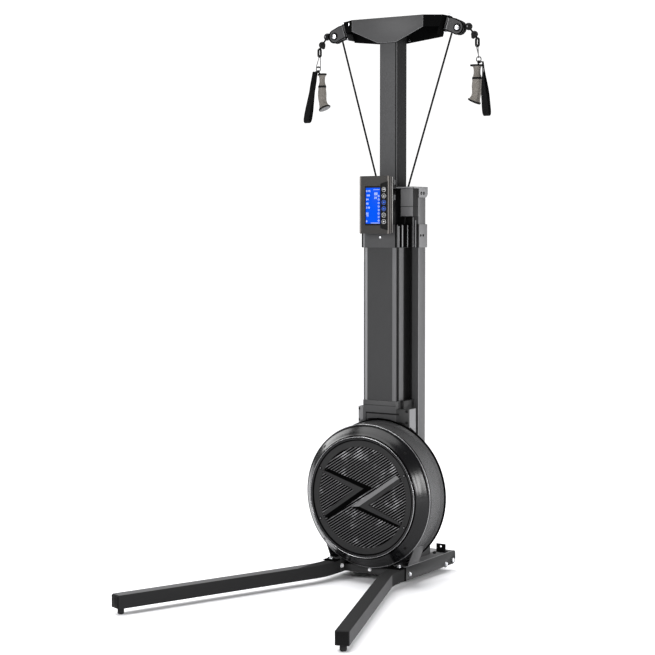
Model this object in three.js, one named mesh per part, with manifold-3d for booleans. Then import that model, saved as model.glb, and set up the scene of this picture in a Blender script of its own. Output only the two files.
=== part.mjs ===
// Ski trainer: an air-fan pulling machine on a splayed floor frame, with two rope handles at the top.
// Millimetres, +Z up, +X to the machine's left-right axis, the user stands on the -Y side.
// The tower is drawn round X = 0, Y = 0 and the whole machine is then centred on its footprint.
import * as THREE from 'three';
import { mergeVertices } from 'three/addons/utils/BufferGeometryUtils.js';
import Module from 'manifold-3d';

const wasm = await Module();
wasm.setup();

// Clearances and facets
const gap = 0.3;
const overrun = 15;
const weldDistance = 0.0005;
const drumSides = 40;
const roundSides = 22;
const smallSides = 14;
const ballSides = 10;
const wireSides = 6;
const arcSteps = 4;

// Legs and feet
const footHeight = 22;
const frontFootRadius = 12;
const rearFootRadius = 18;
const footInset = 24;
const legSide = 50;
const legWall = 2;
const legCentreX = 146.5;
const legSplay = THREE.MathUtils.degToRad(21.3);
const legBendRadius = 260;
const legBendStart = 238;
const legReach = 1125;
const legRootDepth = 60;
const legBendSteps = 6;
const clampLength = 34;
const clampThickness = 4;
const clampBoltRadius = 9;
const clampBoltHeight = 10;
const clampBoltInset = 11;
const clampBoltAside = 6;

// Floor frame
const beamWall = 3;
const beamSlack = 0.5;
const beamFront = 200;
const beamRear = 198;
const beamUnderside = 25;
const beamFlangeSlack = 3;
const beamCornerRadius = 15;
const beamHeelRadius = 20;
const beamLobeRadius = 14;
const beamLobeY = 119;
const beamLobeZ = 34;
const crossWall = 3;
const frontCrossFront = 172;
const frontCrossDepth = 40;
const frontCrossHeight = 28;
const rearCrossFront = 100;
const rearCrossDepth = 40;
const deckFront = 75;
const deckRear = 175;
const crossUnderside = 27;
const rearFootX = 85;
const wheelRadius = 30;
const wheelWidth = 24;
const wheelCentreX = 100;
const axleY = 172;
const axleZ = 41;
const axleRadius = 5;
const axleHeadRadius = 9;
const axleHeadWidth = 6;
const tabInnerX = 130;
const tabOuterX = 171;
const tabY = 121;
const tabThickness = 4;
const tabHeight = 34;
const tabHoleRadius = 4;
const tabHoleDrop = 11;
const tabFootLength = 18;

// Mast, its foot and head
const mastHalfWidth = 110;
const mastFront = 10;
const mastDepth = 54;
const mastWall = 3;
const mastTop = 1515;
const footSleeveHeight = 72;
const footSleeveWall = 8;
const cheekX = 127;
const cheekThickness = 3;
const cheekTop = 236;
const cheekWaistZ = 150;
const cheekRearFoot = 6;
const headPlate = 7;
const headHalfWidth = 117;
const headFront = 40;
const headSkirt = 35;
const headRearWall = 5;
const headSideFront = 0;
const headCornerCut = 12;
const headRopeHole = 8;
const guideInnerX = 58;
const guideOuterX = 113.5;
const guideFront = 40;
const guideHeight = 107.5;
const guideWall = 16;

// Front column cover
const coverHalfWidth = 74;
const coverFront = 102;
const coverSideRear = 43;
const coverCornerRadius = 12;
const coverGrooveFront = 96;
const coverGrooveRear = 86;
const coverGrooveDepth = 3;
const coverNeckHalfWidth = 70;
const coverWall = 3;
const coverBottom = 693;
const coverDrop = 37.5;

// Collar that carries the console
const collarHeight = 91;
const collarLip = 7;
const collarWall = 4;
const collarRearWall = 7;
const tongueHalfWidth = 58;
const tongueThickness = 6;
const tongueTop = 1550;
const tongueTab = 8;
const tongueTabHeight = 20;
const tongueTabLowZ = 1470;
const tongueTabHighZ = 1528;

// Upper post and crossbar
const postHalfWidth = 40;
const postHalfDepth = 35.5;
const postWall = 2.5;
const barTop = 2178;
const barSheet = 3;
const barFront = 47.6;
const barFrontHalfWidth = 159;
const barSideDrop = 45;
const barMiddleDrop = 97;
const barFrontSideZ = barTop - barSideDrop;
const barMiddleZ = barTop - barMiddleDrop;
const barWingX = 219;
const barWingY = -8;
const barRear = 38.8;
const barRearDrop = 74;
const barRearSideZ = barTop - barRearDrop;
const barEndPlate = 4;

// Swivelling pulley brackets, one hinge pin each, leaning outwards at the top
const hingeX = 230;
const hingeDrop = 32;
const hingeZ = barTop - hingeDrop;
const hingeLean = THREE.MathUtils.degToRad(17.3);
const hingePinRadius = 4;
const hingePinHead = 6.5;
const hingePinHalf = 33;
const hingeEndGap = 15;
const lugHalfWidth = 9;
const lugReach = 8;
const lugThickness = 5;
const barrelRadius = 8.5;
const barrelHalf = 23.7;
const barrelClear = 14;
const webRearReach = 4;
const pulleyX = 277.5;
const pulleyY = 22;
const pulleyDrop = 19.6;
const pulleyZ = hingeZ - pulleyDrop;
const bracketHalfWidth = 13;
const bracketSheet = 3;
const bracketEndRadius = 28;
const pulleyRadius = 26;
const pulleyHalfWidth = 7;
const pulleyGrooveRadius = 19.5;
const pulleyGrooveFlat = 3;
const pulleyAxleRadius = 5;
const pulleyBoltRadius = 10.5;
const pulleyBoltHead = 5;

// Ropes
const ropeRadius = 3.5;
const ropeSeat = 0.6;
const ropeHeadX = 67;
const ropeHeadY = 3;
const ropeGuideX = 62;
const ropeGuideY = -12;
const ropeColumnX = 59;
const ropeColumnY = -16;
const ropeArcSteps = 10;
const ropeRunSteps = 12;
const ropeSides = 8;
const drumRadius = 30;
const drumFlangeRadius = 40;
const drumWidth = 27;
const drumFlange = 3;
const leftDrumY = -55;
const rightDrumY = -24;

// Rope end: two stop balls, an eye, a wire link with a ring
const ballRadius = 15;
const secondBallX = 344;
const secondBallDrop = 29.9;
const secondBallZ = pulleyZ - secondBallDrop;
const eyeX = 357;
const eyeDrop = 30;
const eyeZ = secondBallZ - eyeDrop;
const eyeHalfWidth = 6;
const eyeHalfHeight = 15;
const eyeStrand = 3.6;
const wireRadius = 1.8;
const linkFootHalf = 11;
const ringX = 363;
const ringRadius = 14;
const ringWire = 2;
const ringDrop = 60.5;
const ringZ = eyeZ - ringDrop;

// Handle grip and wrist strap
const lugBore = 3.2;
const lugOuter = 6;
const lugHalf = 4;
const gripX = 351;
const gripY = 32;
const gripDrop = 22;
const gripTopZ = ringZ - gripDrop;
const gripLength = 142;
const gripTopRadius = 16;
const gripTopThick = 6;
const gripNeckRadius = 11;
const gripCollarRadius = 15.5;
const gripCollarStart = 50;
const gripCollarEnd = 57;
const gripBulgeRadius = 17;
const gripBulgeAt = 82;
const gripWaistRadius = 15.5;
const gripWaistAt = 112;
const gripFlareAt = 134;
const gripFlareRadius = 22;
const gripFootRadius = 25;
const gripBendStart = 88;
const gripBendRate = 0.0045;
const strapWidth = 26;
const strapThick = 2.4;
const strapLength = 208;
const strapGapTop = 5;
const strapGapFoot = 24;
const strapLean = THREE.MathUtils.degToRad(9);
const strapForward = THREE.MathUtils.degToRad(4.3);

// Fan housing, round an axis along Y
const hubZ = 333;
const lipFront = 237;
const lipOuter = 233;
const guardRadius = 221.7;
const guardFront = 233;
const guardThickness = 6;
const louvreRadius = 194;
const slatCount = 41;
const slatThickness = 4;
const slatTilt = THREE.MathUtils.degToRad(32.3);
const ribRise = 4;
const ribFlank = 2;
const shroudRadius = 275.5;
const shroudShoulder = 192;
const shroudBack = 182;
const shroudWall = 4;
const seatRadius = 214;
const seatThickness = 4;
const bandRadius = 273.5;
const bandWall = 3;
const bandBack = 100.3;
const skirtTopZ = 154;
const skirtFootX = 177;
const skirtFootZ = 84;
const skirtSheet = 3;
const skirtToeX = 150;
const backDiscFront = 100;
const backDiscThick = 6;
const backRimRadius = 285;
const backRimFront = 91;
const backRimBack = 82;
const backWaistRadius = 266;
const bearingRadius = 28;
const bearingFront = 112;
const bearingBack = 72;
const caseHalfWidth = 88;
const caseWall = 3;
const caseBottom = 250;
const caseTop = 575;
const shaftRadius = 8;
const shaftFront = 216;
const rotorRadius = 186;
const rotorBladeRoot = 92;
const rotorFront = 212;
const rotorDisc = 126;
const rotorDiscThick = 3;
const rotorHubRadius = 26;
const bladeCount = 28;
const bladeThickness = 2.5;
const bladeLean = THREE.MathUtils.degToRad(24);

// Bracket between the column cover, the mast and the fan housing
const neckTop = 692.4;
const neckFlangeY = 68;
const neckFlangeThick = 6;
const neckFlangeHalf = 116;
const neckFlangeBottom = 590;
const neckDrumClear = 292;
const neckCutBack = 79;
const neckSideThick = 3;
const neckSideBack = 20;
const neckSideTop = 662;
const neckSideTip = 567;
const neckSideElbow = 596;
const neckSideTopBack = 30;
const neckBoxHalf = 90;
const neckBoreHalf = 67;

// Console
const consoleHalfWidth = 64;
const consoleFront = 148;
const consoleBack = 106.6;
const consoleBottom = 1340;
const consoleTop = 1558;
const consoleCorner = 9;
const screenLeftX = -34.5;
const screenRightX = 29;
const screenBottom = 1378.7;
const screenTop = 1516.4;
const screenRecess = 1.2;
const screenThick = 3;
const buttonX = 47;
const buttonTopZ = 1509.3;
const buttonPitch = 24.5;
const buttonCount = 6;
const buttonRadius = 10;
const buttonProud = 2;
const buttonBody = 8;
const buttonTravel = 1;

// Sizes that follow from the ones above
const legTop = footHeight + legSide;
const beamTop = legTop + beamFlangeSlack + beamWall;
const beamInnerX = legCentreX - legSide / 2 - beamSlack - beamWall;
const beamOuterX = legCentreX + legSide / 2 + beamSlack + beamWall;
const crossHalfWidth = beamInnerX - gap;
const deckTop = beamTop;
const deckBottom = deckTop - crossWall;
const mastBack = mastFront + mastDepth;
const mastBottom = deckTop + gap;
const guideBottom = mastTop - guideHeight;
const coverTop = guideBottom - coverDrop;
const collarTop = coverTop + collarLip;
const collarBottom = collarTop - collarHeight;
const headBottom = mastTop + gap;
const headTop = headBottom + headPlate;
const bracketY = pulleyY;
const ropeLay = pulleyGrooveRadius + ropeRadius + ropeSeat;
const drumLay = drumRadius + ropeRadius + ropeSeat;
const ballBelt = ballRadius * Math.cos(Math.PI / ballSides);
const buttonBore = buttonRadius + gap;
const slatPitch = (2 * louvreRadius) / slatCount;

// Chevron ribs of the fan guard, as shares of the louvre radius, round the hub
const ribCrestShares = [[-0.893, 0.464], [0.036, 0.175], [-0.886, -0.449], [-0.918, -0.371],
  [-0.186, 0.131], [-0.907, 0.423]];
const ribFootShares = [[-0.859, 0.497], [0.245, 0.217], [-0.86, -0.492], [-0.918, -0.371],
  [-0.186, 0.131], [-0.907, 0.423]];

// Solid helpers
function solid(geometry) {
  const bare = geometry.clone();
  bare.deleteAttribute('normal');
  bare.deleteAttribute('uv');
  const welded = mergeVertices(bare, weldDistance);
  const points = Float32Array.from(welded.attributes.position.array);
  const source = welded.index.array;
  const corners = [];
  let volume = 0;
  for (let i = 0; i < source.length; i += 3) {
    const [a, b, c] = [source[i], source[i + 1], source[i + 2]];
    if (a === b || b === c || c === a) continue;
    corners.push(a, b, c);
    const p = new THREE.Vector3().fromArray(points, 3 * a);
    const q = new THREE.Vector3().fromArray(points, 3 * b);
    const r = new THREE.Vector3().fromArray(points, 3 * c);
    volume += p.dot(q.cross(r));
  }
  if (volume < 0) corners.reverse();
  const triangles = Uint32Array.from(corners);
  return new wasm.Manifold(new wasm.Mesh({ numProp: 3, vertProperties: points, triVerts: triangles }));
}

function block(x0, x1, y0, y1, z0, z1) {
  const geometry = new THREE.BoxGeometry(x1 - x0, y1 - y0, z1 - z0);
  return solid(geometry.translate((x0 + x1) / 2, (y0 + y1) / 2, (z0 + z1) / 2));
}

function polygon(points) {
  return new THREE.Shape(points.map(([u, v]) => new THREE.Vector2(u, v)));
}

// An outline pulled along one axis: along x it is drawn in (y, z), along y in (x, z), along z in (x, y)
function prism(outline, axis, low, high) {
  const options = { depth: high - low, bevelEnabled: false, curveSegments: arcSteps };
  const geometry = new THREE.ExtrudeGeometry(outline, options);
  if (axis === 'x') {
    const alongY = new THREE.Vector3(0, 1, 0);
    const alongZ = new THREE.Vector3(0, 0, 1);
    const alongX = new THREE.Vector3(1, 0, 0);
    geometry.applyMatrix4(new THREE.Matrix4().makeBasis(alongY, alongZ, alongX));
    geometry.translate(low, 0, 0);
  } else if (axis === 'y') {
    geometry.rotateX(Math.PI / 2);
    geometry.translate(0, high, 0);
  } else {
    geometry.translate(0, 0, low);
  }
  return solid(geometry);
}

// A round bar along one axis, at (a, b) in the other two
function rod(axis, radius, low, high, a, b, sides = smallSides) {
  const geometry = new THREE.CylinderGeometry(radius, radius, high - low, sides);
  const middle = (low + high) / 2;
  if (axis === 'x') geometry.rotateZ(Math.PI / 2).translate(middle, a, b);
  if (axis === 'y') geometry.translate(a, middle, b);
  if (axis === 'z') geometry.rotateX(Math.PI / 2).translate(a, b, middle);
  return solid(geometry);
}

// A round bar between two points
function bar(from, to, radius, sides = smallSides) {
  const start = new THREE.Vector3(...from);
  const run = new THREE.Vector3(...to).sub(start);
  const geometry = new THREE.CylinderGeometry(radius, radius, run.length(), sides);
  geometry.translate(0, run.length() / 2, 0);
  const turn = new THREE.Quaternion().setFromUnitVectors(new THREE.Vector3(0, 1, 0), run.normalize());
  return solid(geometry.applyQuaternion(turn).translate(start.x, start.y, start.z));
}

function ball(radius, x, y, z, sides = ballSides) {
  const geometry = new THREE.SphereGeometry(radius, sides, sides / 2);
  return solid(geometry.translate(x, y, z));
}

// A closed profile of [radius, y] turned round the Y axis
function turned(profile, sides) {
  const points = profile.map(([radius, y]) => new THREE.Vector2(radius, y));
  if (profile[0][0] > 0) points.push(points[0].clone());
  return solid(new THREE.LatheGeometry(points, sides));
}

function onHub(body) {
  return body.translate([0, 0, hubZ]);
}

function tube(points, radius, steps, sides) {
  const outline = [];
  for (let i = 0; i < sides; i += 1) {
    const angle = (2 * Math.PI * i) / sides;
    outline.push([radius * Math.cos(angle), radius * Math.sin(angle)]);
  }
  const path = new THREE.CatmullRomCurve3(points, false, 'centripetal');
  const options = { steps, extrudePath: path, bevelEnabled: false };
  return solid(new THREE.ExtrudeGeometry(polygon(outline), options));
}

function joined(bodies) {
  return bodies.reduce((sum, body) => sum.add(body));
}

function mirrored(body) {
  return body.mirror([1, 0, 0]);
}

function paint(colour, roughness, metalness) {
  return new THREE.MeshStandardMaterial({ color: colour, roughness, metalness, flatShading: true });
}

const finishes = {
  frame: () => paint('#3f4042', 0.45, 0.35),
  panel: () => paint('#4b4c4e', 0.5, 0.3),
  cover: () => paint('#3a3b3c', 0.55, 0.1),
  gloss: () => paint('#101112', 0.15, 0.1),
  black: () => paint('#17181a', 0.6, 0.1),
  zinc: () => paint('#c9cbcd', 0.3, 0.9),
  mesh: () => paint('#2b2c2e', 0.5, 0.6),
  rotor: () => paint('#232426', 0.6, 0.1),
  rubber: () => paint('#121212', 0.9, 0),
  rope: () => paint('#0d0d0e', 0.85, 0),
  grip: () => paint('#8c8780', 0.7, 0),
  strap: () => paint('#131315', 0.95, 0),
  screen: () => paint('#0a55e0', 0.2, 0),
};

// Legs: square tubes with a bend near the root, closed at the far end
function legOutline(inset, rootY, endInset) {
  const half = legSide / 2 - inset;
  const centre = [[legCentreX, rootY, 0]];
  for (let i = 0; i <= legBendSteps; i += 1) {
    const turn = (legSplay * i) / legBendSteps;
    const x = legCentreX + legBendRadius * (1 - Math.cos(turn));
    centre.push([x, -legBendStart - legBendRadius * Math.sin(turn), turn]);
  }
  const end = legEnd(endInset);
  centre.push([end.x, end.y, legSplay]);
  const outer = centre.map(([x, y, turn]) => [x + half * Math.cos(turn), y + half * Math.sin(turn)]);
  const inner = centre.map(([x, y, turn]) => [x - half * Math.cos(turn), y - half * Math.sin(turn)]);
  return polygon([...inner, ...outer.reverse()]);
}

// Centre of the leg's far end, or a point short of it along the leg
function legEnd(inset) {
  const bendX = legCentreX + legBendRadius * (1 - Math.cos(legSplay));
  const bendY = -legBendStart - legBendRadius * Math.sin(legSplay);
  const length = (legReach + bendY) / Math.cos(legSplay) - inset;
  const x = bendX + length * Math.sin(legSplay);
  return new THREE.Vector2(x, bendY - length * Math.cos(legSplay));
}

function rightLeg() {
  const rootY = -beamFront + legRootDepth;
  const shell = prism(legOutline(0, rootY, 0), 'z', footHeight, legTop);
  const hollow = legOutline(legWall, rootY + overrun, legWall);
  return shell.subtract(prism(hollow, 'z', footHeight + legWall, legTop - legWall));
}

function rightFrontFoot() {
  const at = legEnd(footInset);
  return rod('z', frontFootRadius, 0, footHeight - gap, at.x, at.y, roundSides);
}

function rightRearFoot() {
  return rod('z', rearFootRadius, 0, crossUnderside - gap, rearFootX, rearCrossFront + rearCrossDepth / 2);
}

// Plate and bolt that press the leg's root down in front of the beam
function rightClamp() {
  const front = -beamFront - gap - clampLength;
  const low = legTop + gap;
  const high = low + clampThickness;
  const plate = block(beamInnerX, beamOuterX, front, front + clampLength, low, high);
  const boltY = -beamFront - clampBoltInset;
  const head = rod('z', clampBoltRadius, high - gap, high + clampBoltHeight,
    legCentreX + clampBoltAside, boltY, wireSides);
  return plate.add(head);
}

// Beams: an outer plate with a lobe and rounded rear end, a top flange and an inner web
function beamPlateOutline() {
  const shape = new THREE.Shape();
  shape.moveTo(-beamFront, beamUnderside);
  const drop = beamLobeZ - beamUnderside;
  const open = Math.asin(drop / beamLobeRadius);
  const reach = beamLobeRadius * Math.cos(open);
  shape.lineTo(beamLobeY - reach, beamUnderside);
  shape.absarc(beamLobeY, beamLobeZ, beamLobeRadius, Math.PI + open, 2 * Math.PI - open, false);
  shape.absarc(beamRear - beamHeelRadius, beamUnderside + beamHeelRadius, beamHeelRadius,
    1.5 * Math.PI, 2 * Math.PI, false);
  const arcY = beamRear - beamCornerRadius;
  shape.absarc(arcY, beamTop - beamCornerRadius, beamCornerRadius, 0, Math.PI / 2, false);
  shape.lineTo(-beamFront, beamTop);
  return shape;
}

function rightBeam() {
  const plate = prism(beamPlateOutline(), 'x', beamOuterX - beamWall, beamOuterX);
  const flangeRear = beamRear - beamCornerRadius;
  const flange = block(beamInnerX, beamOuterX, -beamFront, flangeRear, beamTop - beamWall, beamTop);
  const web = block(beamInnerX, beamInnerX + beamWall, -beamFront, flangeRear, beamUnderside, beamTop);
  const bore = rod('x', axleRadius + gap, beamInnerX - overrun, beamOuterX + overrun, axleY, axleZ);
  const relief = rod('y', backRimRadius + 2 * ribRise, -backRimFront - overrun, -backRimBack + ribRise,
    0, hubZ, drumSides);
  return joined([plate, flange, web]).subtract(bore).subtract(relief);
}

function frontCross() {
  const low = crossUnderside;
  const high = low + frontCrossHeight;
  const back = -frontCrossFront + frontCrossDepth;
  const outer = block(-crossHalfWidth, crossHalfWidth, -frontCrossFront, back, low, high);
  const inner = block(-crossHalfWidth - overrun, crossHalfWidth + overrun, -frontCrossFront + crossWall,
    back - crossWall, low + crossWall, high - crossWall);
  return outer.subtract(inner);
}

// Rear cross tube with the deck plate welded on top
function rearDeck() {
  const back = rearCrossFront + rearCrossDepth;
  const deck = block(-crossHalfWidth, crossHalfWidth, -deckFront, deckRear, deckBottom, deckTop);
  const outer = block(-crossHalfWidth, crossHalfWidth, rearCrossFront, back, crossUnderside, deckTop);
  const inner = block(-crossHalfWidth - overrun, crossHalfWidth + overrun, rearCrossFront + crossWall,
    back - crossWall, crossUnderside + crossWall, deckBottom);
  return deck.add(outer).subtract(inner);
}

function wheelAxle() {
  const end = beamOuterX + gap;
  const stem = rod('x', axleRadius, -end, end, axleY, axleZ);
  const head = rod('x', axleHeadRadius, end, end + axleHeadWidth, axleY, axleZ, wireSides);
  return joined([stem, head, mirrored(head)]);
}

function rightWheel() {
  const bore = axleRadius + gap;
  const half = wheelWidth / 2;
  const crown = wheelRadius - wheelWidth / 8;
  const profile = [[bore, -half], [crown, -half], [wheelRadius, -half / 2], [wheelRadius, half / 2],
    [crown, half], [bore, half]];
  const wheel = turned(profile, roundSides).rotate([0, 0, 90]);
  return wheel.translate([wheelCentreX, axleY, axleZ]);
}

function hookTab() {
  const low = deckTop + gap;
  const plate = block(tabInnerX, tabOuterX, tabY, tabY + tabThickness, low, low + tabHeight);
  const back = tabY + tabThickness + tabFootLength;
  const foot = block(tabInnerX, tabOuterX, tabY, back, low, low + tabThickness);
  const middle = (tabInnerX + tabOuterX) / 2;
  const hole = rod('y', tabHoleRadius, tabY - overrun, back + overrun, middle, low + tabHeight - tabHoleDrop);
  return plate.add(foot).subtract(hole);
}

// Sleeve round the mast's foot with a cheek plate each side that reaches forward to the fan housing
function mastFoot() {
  const low = deckTop + gap;
  const front = mastFront - footSleeveWall;
  const back = mastBack + footSleeveWall;
  const half = cheekX + cheekThickness;
  const sleeve = block(-half, half, front, back, low, low + footSleeveHeight);
  const cheekFront = -backRimBack + gap;
  const outline = polygon([[cheekFront, low], [cheekRearFoot, low], [back, low + footSleeveHeight / 2],
    [back, cheekWaistZ], [mastFront, cheekTop], [cheekFront, cheekTop]]);
  const cheek = prism(outline, 'x', cheekX, half);
  const socket = block(-mastHalfWidth - gap, mastHalfWidth + gap, mastFront - gap, mastBack + gap,
    low - overrun, cheekTop + overrun);
  return joined([sleeve, cheek, mirrored(cheek)]).subtract(socket);
}

function mast() {
  const outer = block(-mastHalfWidth, mastHalfWidth, mastFront, mastBack, mastBottom, mastTop);
  const inner = block(-mastHalfWidth + mastWall, mastHalfWidth - mastWall, mastFront + mastWall,
    mastBack - mastWall, mastBottom - overrun, mastTop + overrun);
  return outer.subtract(inner);
}

// Cap on the mast: a top plate that overhangs forward, side tabs with a cut corner and a rear skirt
function mastHead() {
  const back = mastBack + gap + headRearWall;
  const plate = block(-headHalfWidth, headHalfWidth, -headFront, back, headBottom, headTop);
  const low = headTop - headSkirt - headPlate;
  const outline = polygon([[headSideFront, low], [back - headCornerCut, low], [back, low + headCornerCut],
    [back, headTop], [headSideFront, headTop]]);
  const skirt = prism(outline, 'x', -headHalfWidth, headHalfWidth);
  const room = block(-mastHalfWidth - gap, mastHalfWidth + gap, headSideFront - overrun, mastBack + gap,
    low - overrun, headBottom);
  const hole = rod('z', headRopeHole, headBottom - overrun, headTop + overrun, ropeHeadX, ropeHeadY);
  return plate.add(skirt.subtract(room)).subtract(hole).subtract(mirrored(hole));
}

// Rope guide under the head: a block with a channel open towards the mast and the column
function rightGuide() {
  const back = mastFront - gap;
  const front = -guideFront;
  const outer = block(guideInnerX, guideOuterX, front, back, guideBottom, mastTop);
  const side = block(guideInnerX, guideOuterX - guideWall, front + guideWall, back + overrun,
    guideBottom - overrun, mastTop + overrun);
  const open = block(guideInnerX - overrun, guideInnerX + gap, front + guideWall, back + overrun,
    guideBottom - overrun, mastTop + overrun);
  const skirtRoom = block(mastHalfWidth, guideOuterX + overrun, headSideFront - gap, back + overrun,
    guideBottom - overrun, mastTop + overrun);
  return outer.subtract(side).subtract(open).subtract(skirtRoom);
}

function coverOutline() {
  const shape = new THREE.Shape();
  const r = coverCornerRadius;
  const rear = mastFront - gap;
  const sunk = coverHalfWidth - coverGrooveDepth;
  shape.moveTo(-coverHalfWidth + r, -coverFront);
  shape.lineTo(coverHalfWidth - r, -coverFront);
  shape.absellipse(coverHalfWidth - r, -coverGrooveFront, r, coverFront - coverGrooveFront,
    -Math.PI / 2, 0, false);
  const right = [[sunk, -coverGrooveFront], [sunk, -coverGrooveRear], [coverHalfWidth, -coverGrooveRear],
    [coverHalfWidth, -coverSideRear], [coverNeckHalfWidth, -coverSideRear], [coverNeckHalfWidth, rear]];
  right.forEach(([x, y]) => shape.lineTo(x, y));
  right.reverse().forEach(([x, y]) => shape.lineTo(-x, y));
  shape.absellipse(-coverHalfWidth + r, -coverGrooveFront, r, coverFront - coverGrooveFront,
    Math.PI, 1.5 * Math.PI, false);
  return shape;
}

function columnCover() {
  const shell = prism(coverOutline(), 'z', coverBottom, coverTop);
  const half = coverNeckHalfWidth - coverWall;
  const room = block(-half, half, -coverFront + coverWall, mastFront + overrun,
    coverBottom - overrun, coverTop + overrun);
  return shell.subtract(room);
}

// Collar round the column and the mast, with the upright tongue behind the console
function consoleCollar() {
  const narrow = coverHalfWidth + gap + collarWall;
  const wide = mastHalfWidth + gap + collarWall;
  const front = -coverFront - gap - collarWall;
  const step = mastFront - gap - collarWall;
  const back = mastBack + gap + collarRearWall;
  const sleeve = block(-narrow, narrow, front, mastFront, collarBottom, collarTop);
  const clasp = block(-wide, wide, step, back, collarBottom, collarTop);
  const coverRoom = block(-coverHalfWidth - gap, coverHalfWidth + gap, -coverFront - gap, mastFront + gap,
    collarBottom - overrun, collarTop + overrun);
  const mastRoom = block(-mastHalfWidth - gap, mastHalfWidth + gap, mastFront - gap, mastBack + gap,
    collarBottom - overrun, collarTop + overrun);
  const tongueBack = front + tongueThickness;
  const tongueFoot = collarTop - collarWall;
  const tongue = block(-tongueHalfWidth, tongueHalfWidth, front, tongueBack, tongueFoot, tongueTop);
  const tabs = [tongueTabLowZ, tongueTabHighZ].map((low) => block(tongueHalfWidth - tongueThickness,
    tongueHalfWidth + tongueTab, front, tongueBack + tongueTab, low, low + tongueTabHeight));
  const upright = joined([tongue, ...tabs, ...tabs.map(mirrored)]);
  return sleeve.add(clasp).subtract(coverRoom).subtract(mastRoom).add(upright);
}

function upperPost() {
  const low = headTop + gap;
  const high = barTop - barSheet - gap;
  const outer = block(-postHalfWidth, postHalfWidth, -postHalfDepth, postHalfDepth, low, high);
  const inner = block(-postHalfWidth + postWall, postHalfWidth - postWall, -postHalfDepth + postWall,
    postHalfDepth - postWall, low - overrun, high + overrun);
  return outer.subtract(inner);
}

// Places a body drawn round the upright hinge pin, +X outwards, at the leaning pin of the right side
function atHinge(body) {
  const degrees = THREE.MathUtils.radToDeg(hingeLean);
  return body.rotate([0, degrees, 0]).translate([hingeX, bracketY, hingeZ]);
}

// Crossbar: a folded sheet with a front panel, two swept wings, a rear panel, a top and two end plates
function crossbar() {
  const top = barTop;
  const rear = barRear;
  const reach = hingeX + hingeEndGap;
  const plan = polygon([[-barFrontHalfWidth, -barFront], [barFrontHalfWidth, -barFront],
    [barWingX, barWingY], [reach, barWingY], [reach, rear], [-reach, rear],
    [-reach, barWingY], [-barWingX, barWingY]]);
  const roof = prism(plan, 'z', top - barSheet, top);
  const panel = polygon([[-barFrontHalfWidth, top], [-barFrontHalfWidth, barFrontSideZ],
    [-postHalfWidth, barMiddleZ], [postHalfWidth, barMiddleZ], [barFrontHalfWidth, barFrontSideZ],
    [barFrontHalfWidth, top]]);
  const front = prism(panel, 'y', -barFront, -barFront + barSheet);
  const wingPlan = polygon([[barFrontHalfWidth, -barFront], [barWingX, barWingY],
    [barWingX, barWingY + barSheet], [barFrontHalfWidth - barSheet, -barFront + barSheet]]);
  const wing = prism(wingPlan, 'z', barFrontSideZ, top);
  const backPanel = polygon([[-reach, top], [-reach, barRearSideZ], [-postHalfWidth, barMiddleZ],
    [postHalfWidth, barMiddleZ], [reach, barRearSideZ], [reach, top]]);
  const back = prism(backPanel, 'y', rear - barSheet, rear);
  const saddle = block(-postHalfWidth, postHalfWidth, -barFront, -postHalfDepth - gap, barMiddleZ, top);
  const tall = 2 * (top - barMiddleZ);
  const beyond = atHinge(block(-hingeEndGap, reach, -tall, tall, -tall, tall));
  const plate = atHinge(block(-hingeEndGap - barEndPlate, -hingeEndGap, barWingY - bracketY,
    rear - bracketY, -tall, tall));
  const slot = block(hingeX - tall, reach + tall, barWingY, rear, barRearSideZ, top);
  const endPlate = plate.intersect(slot);
  const lug = hingeLug(1).add(hingeLug(-1));
  const sheets = joined([roof, front, wing, mirrored(wing), back, saddle]);
  const trimmed = sheets.subtract(beyond).subtract(mirrored(beyond));
  return joined([trimmed, endPlate, mirrored(endPlate), lug, mirrored(lug)]);
}

function hingeLug(side) {
  const inner = barrelHalf + gap;
  const outer = inner + lugThickness;
  const low = side > 0 ? inner : -outer;
  const high = side > 0 ? outer : -inner;
  const tab = block(-hingeEndGap - barEndPlate / 2, lugReach, -lugHalfWidth, lugHalfWidth, low, high);
  const bore = rod('z', hingePinRadius + gap, low - overrun, high + overrun, 0, 0);
  return atHinge(tab.subtract(bore));
}

function rightHingePin() {
  const stem = rod('z', hingePinRadius, -hingePinHalf, hingePinHalf, 0, 0);
  const seat = barrelHalf + 2 * gap + lugThickness;
  const head = rod('z', hingePinHead, seat, hingePinHalf, 0, 0);
  return atHinge(stem.add(head));
}

// Pulley bracket: two sheet cheeks with a round end, joined round the hinge by a barrel and a web
function bracketOutline() {
  const shape = new THREE.Shape();
  const lowEdge = pulleyZ - bracketEndRadius + barrelRadius;
  shape.moveTo(hingeX - barrelRadius - lugReach / 2, hingeZ - barrelHalf + lugReach / 2);
  shape.lineTo(hingeX - lugReach / 2, lowEdge + barrelRadius);
  const aside = bracketEndRadius * Math.cos(Math.PI / 4);
  shape.lineTo(pulleyX - aside, pulleyZ - bracketEndRadius * Math.sin(Math.PI / 4));
  shape.absarc(pulleyX, pulleyZ, bracketEndRadius, 1.25 * Math.PI, 2.4 * Math.PI, false);
  shape.lineTo(hingeX + barrelClear * 2, hingeZ + barrelHalf - barrelRadius / 2);
  shape.lineTo(hingeX + barrelRadius, hingeZ + barrelHalf);
  return shape;
}

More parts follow.
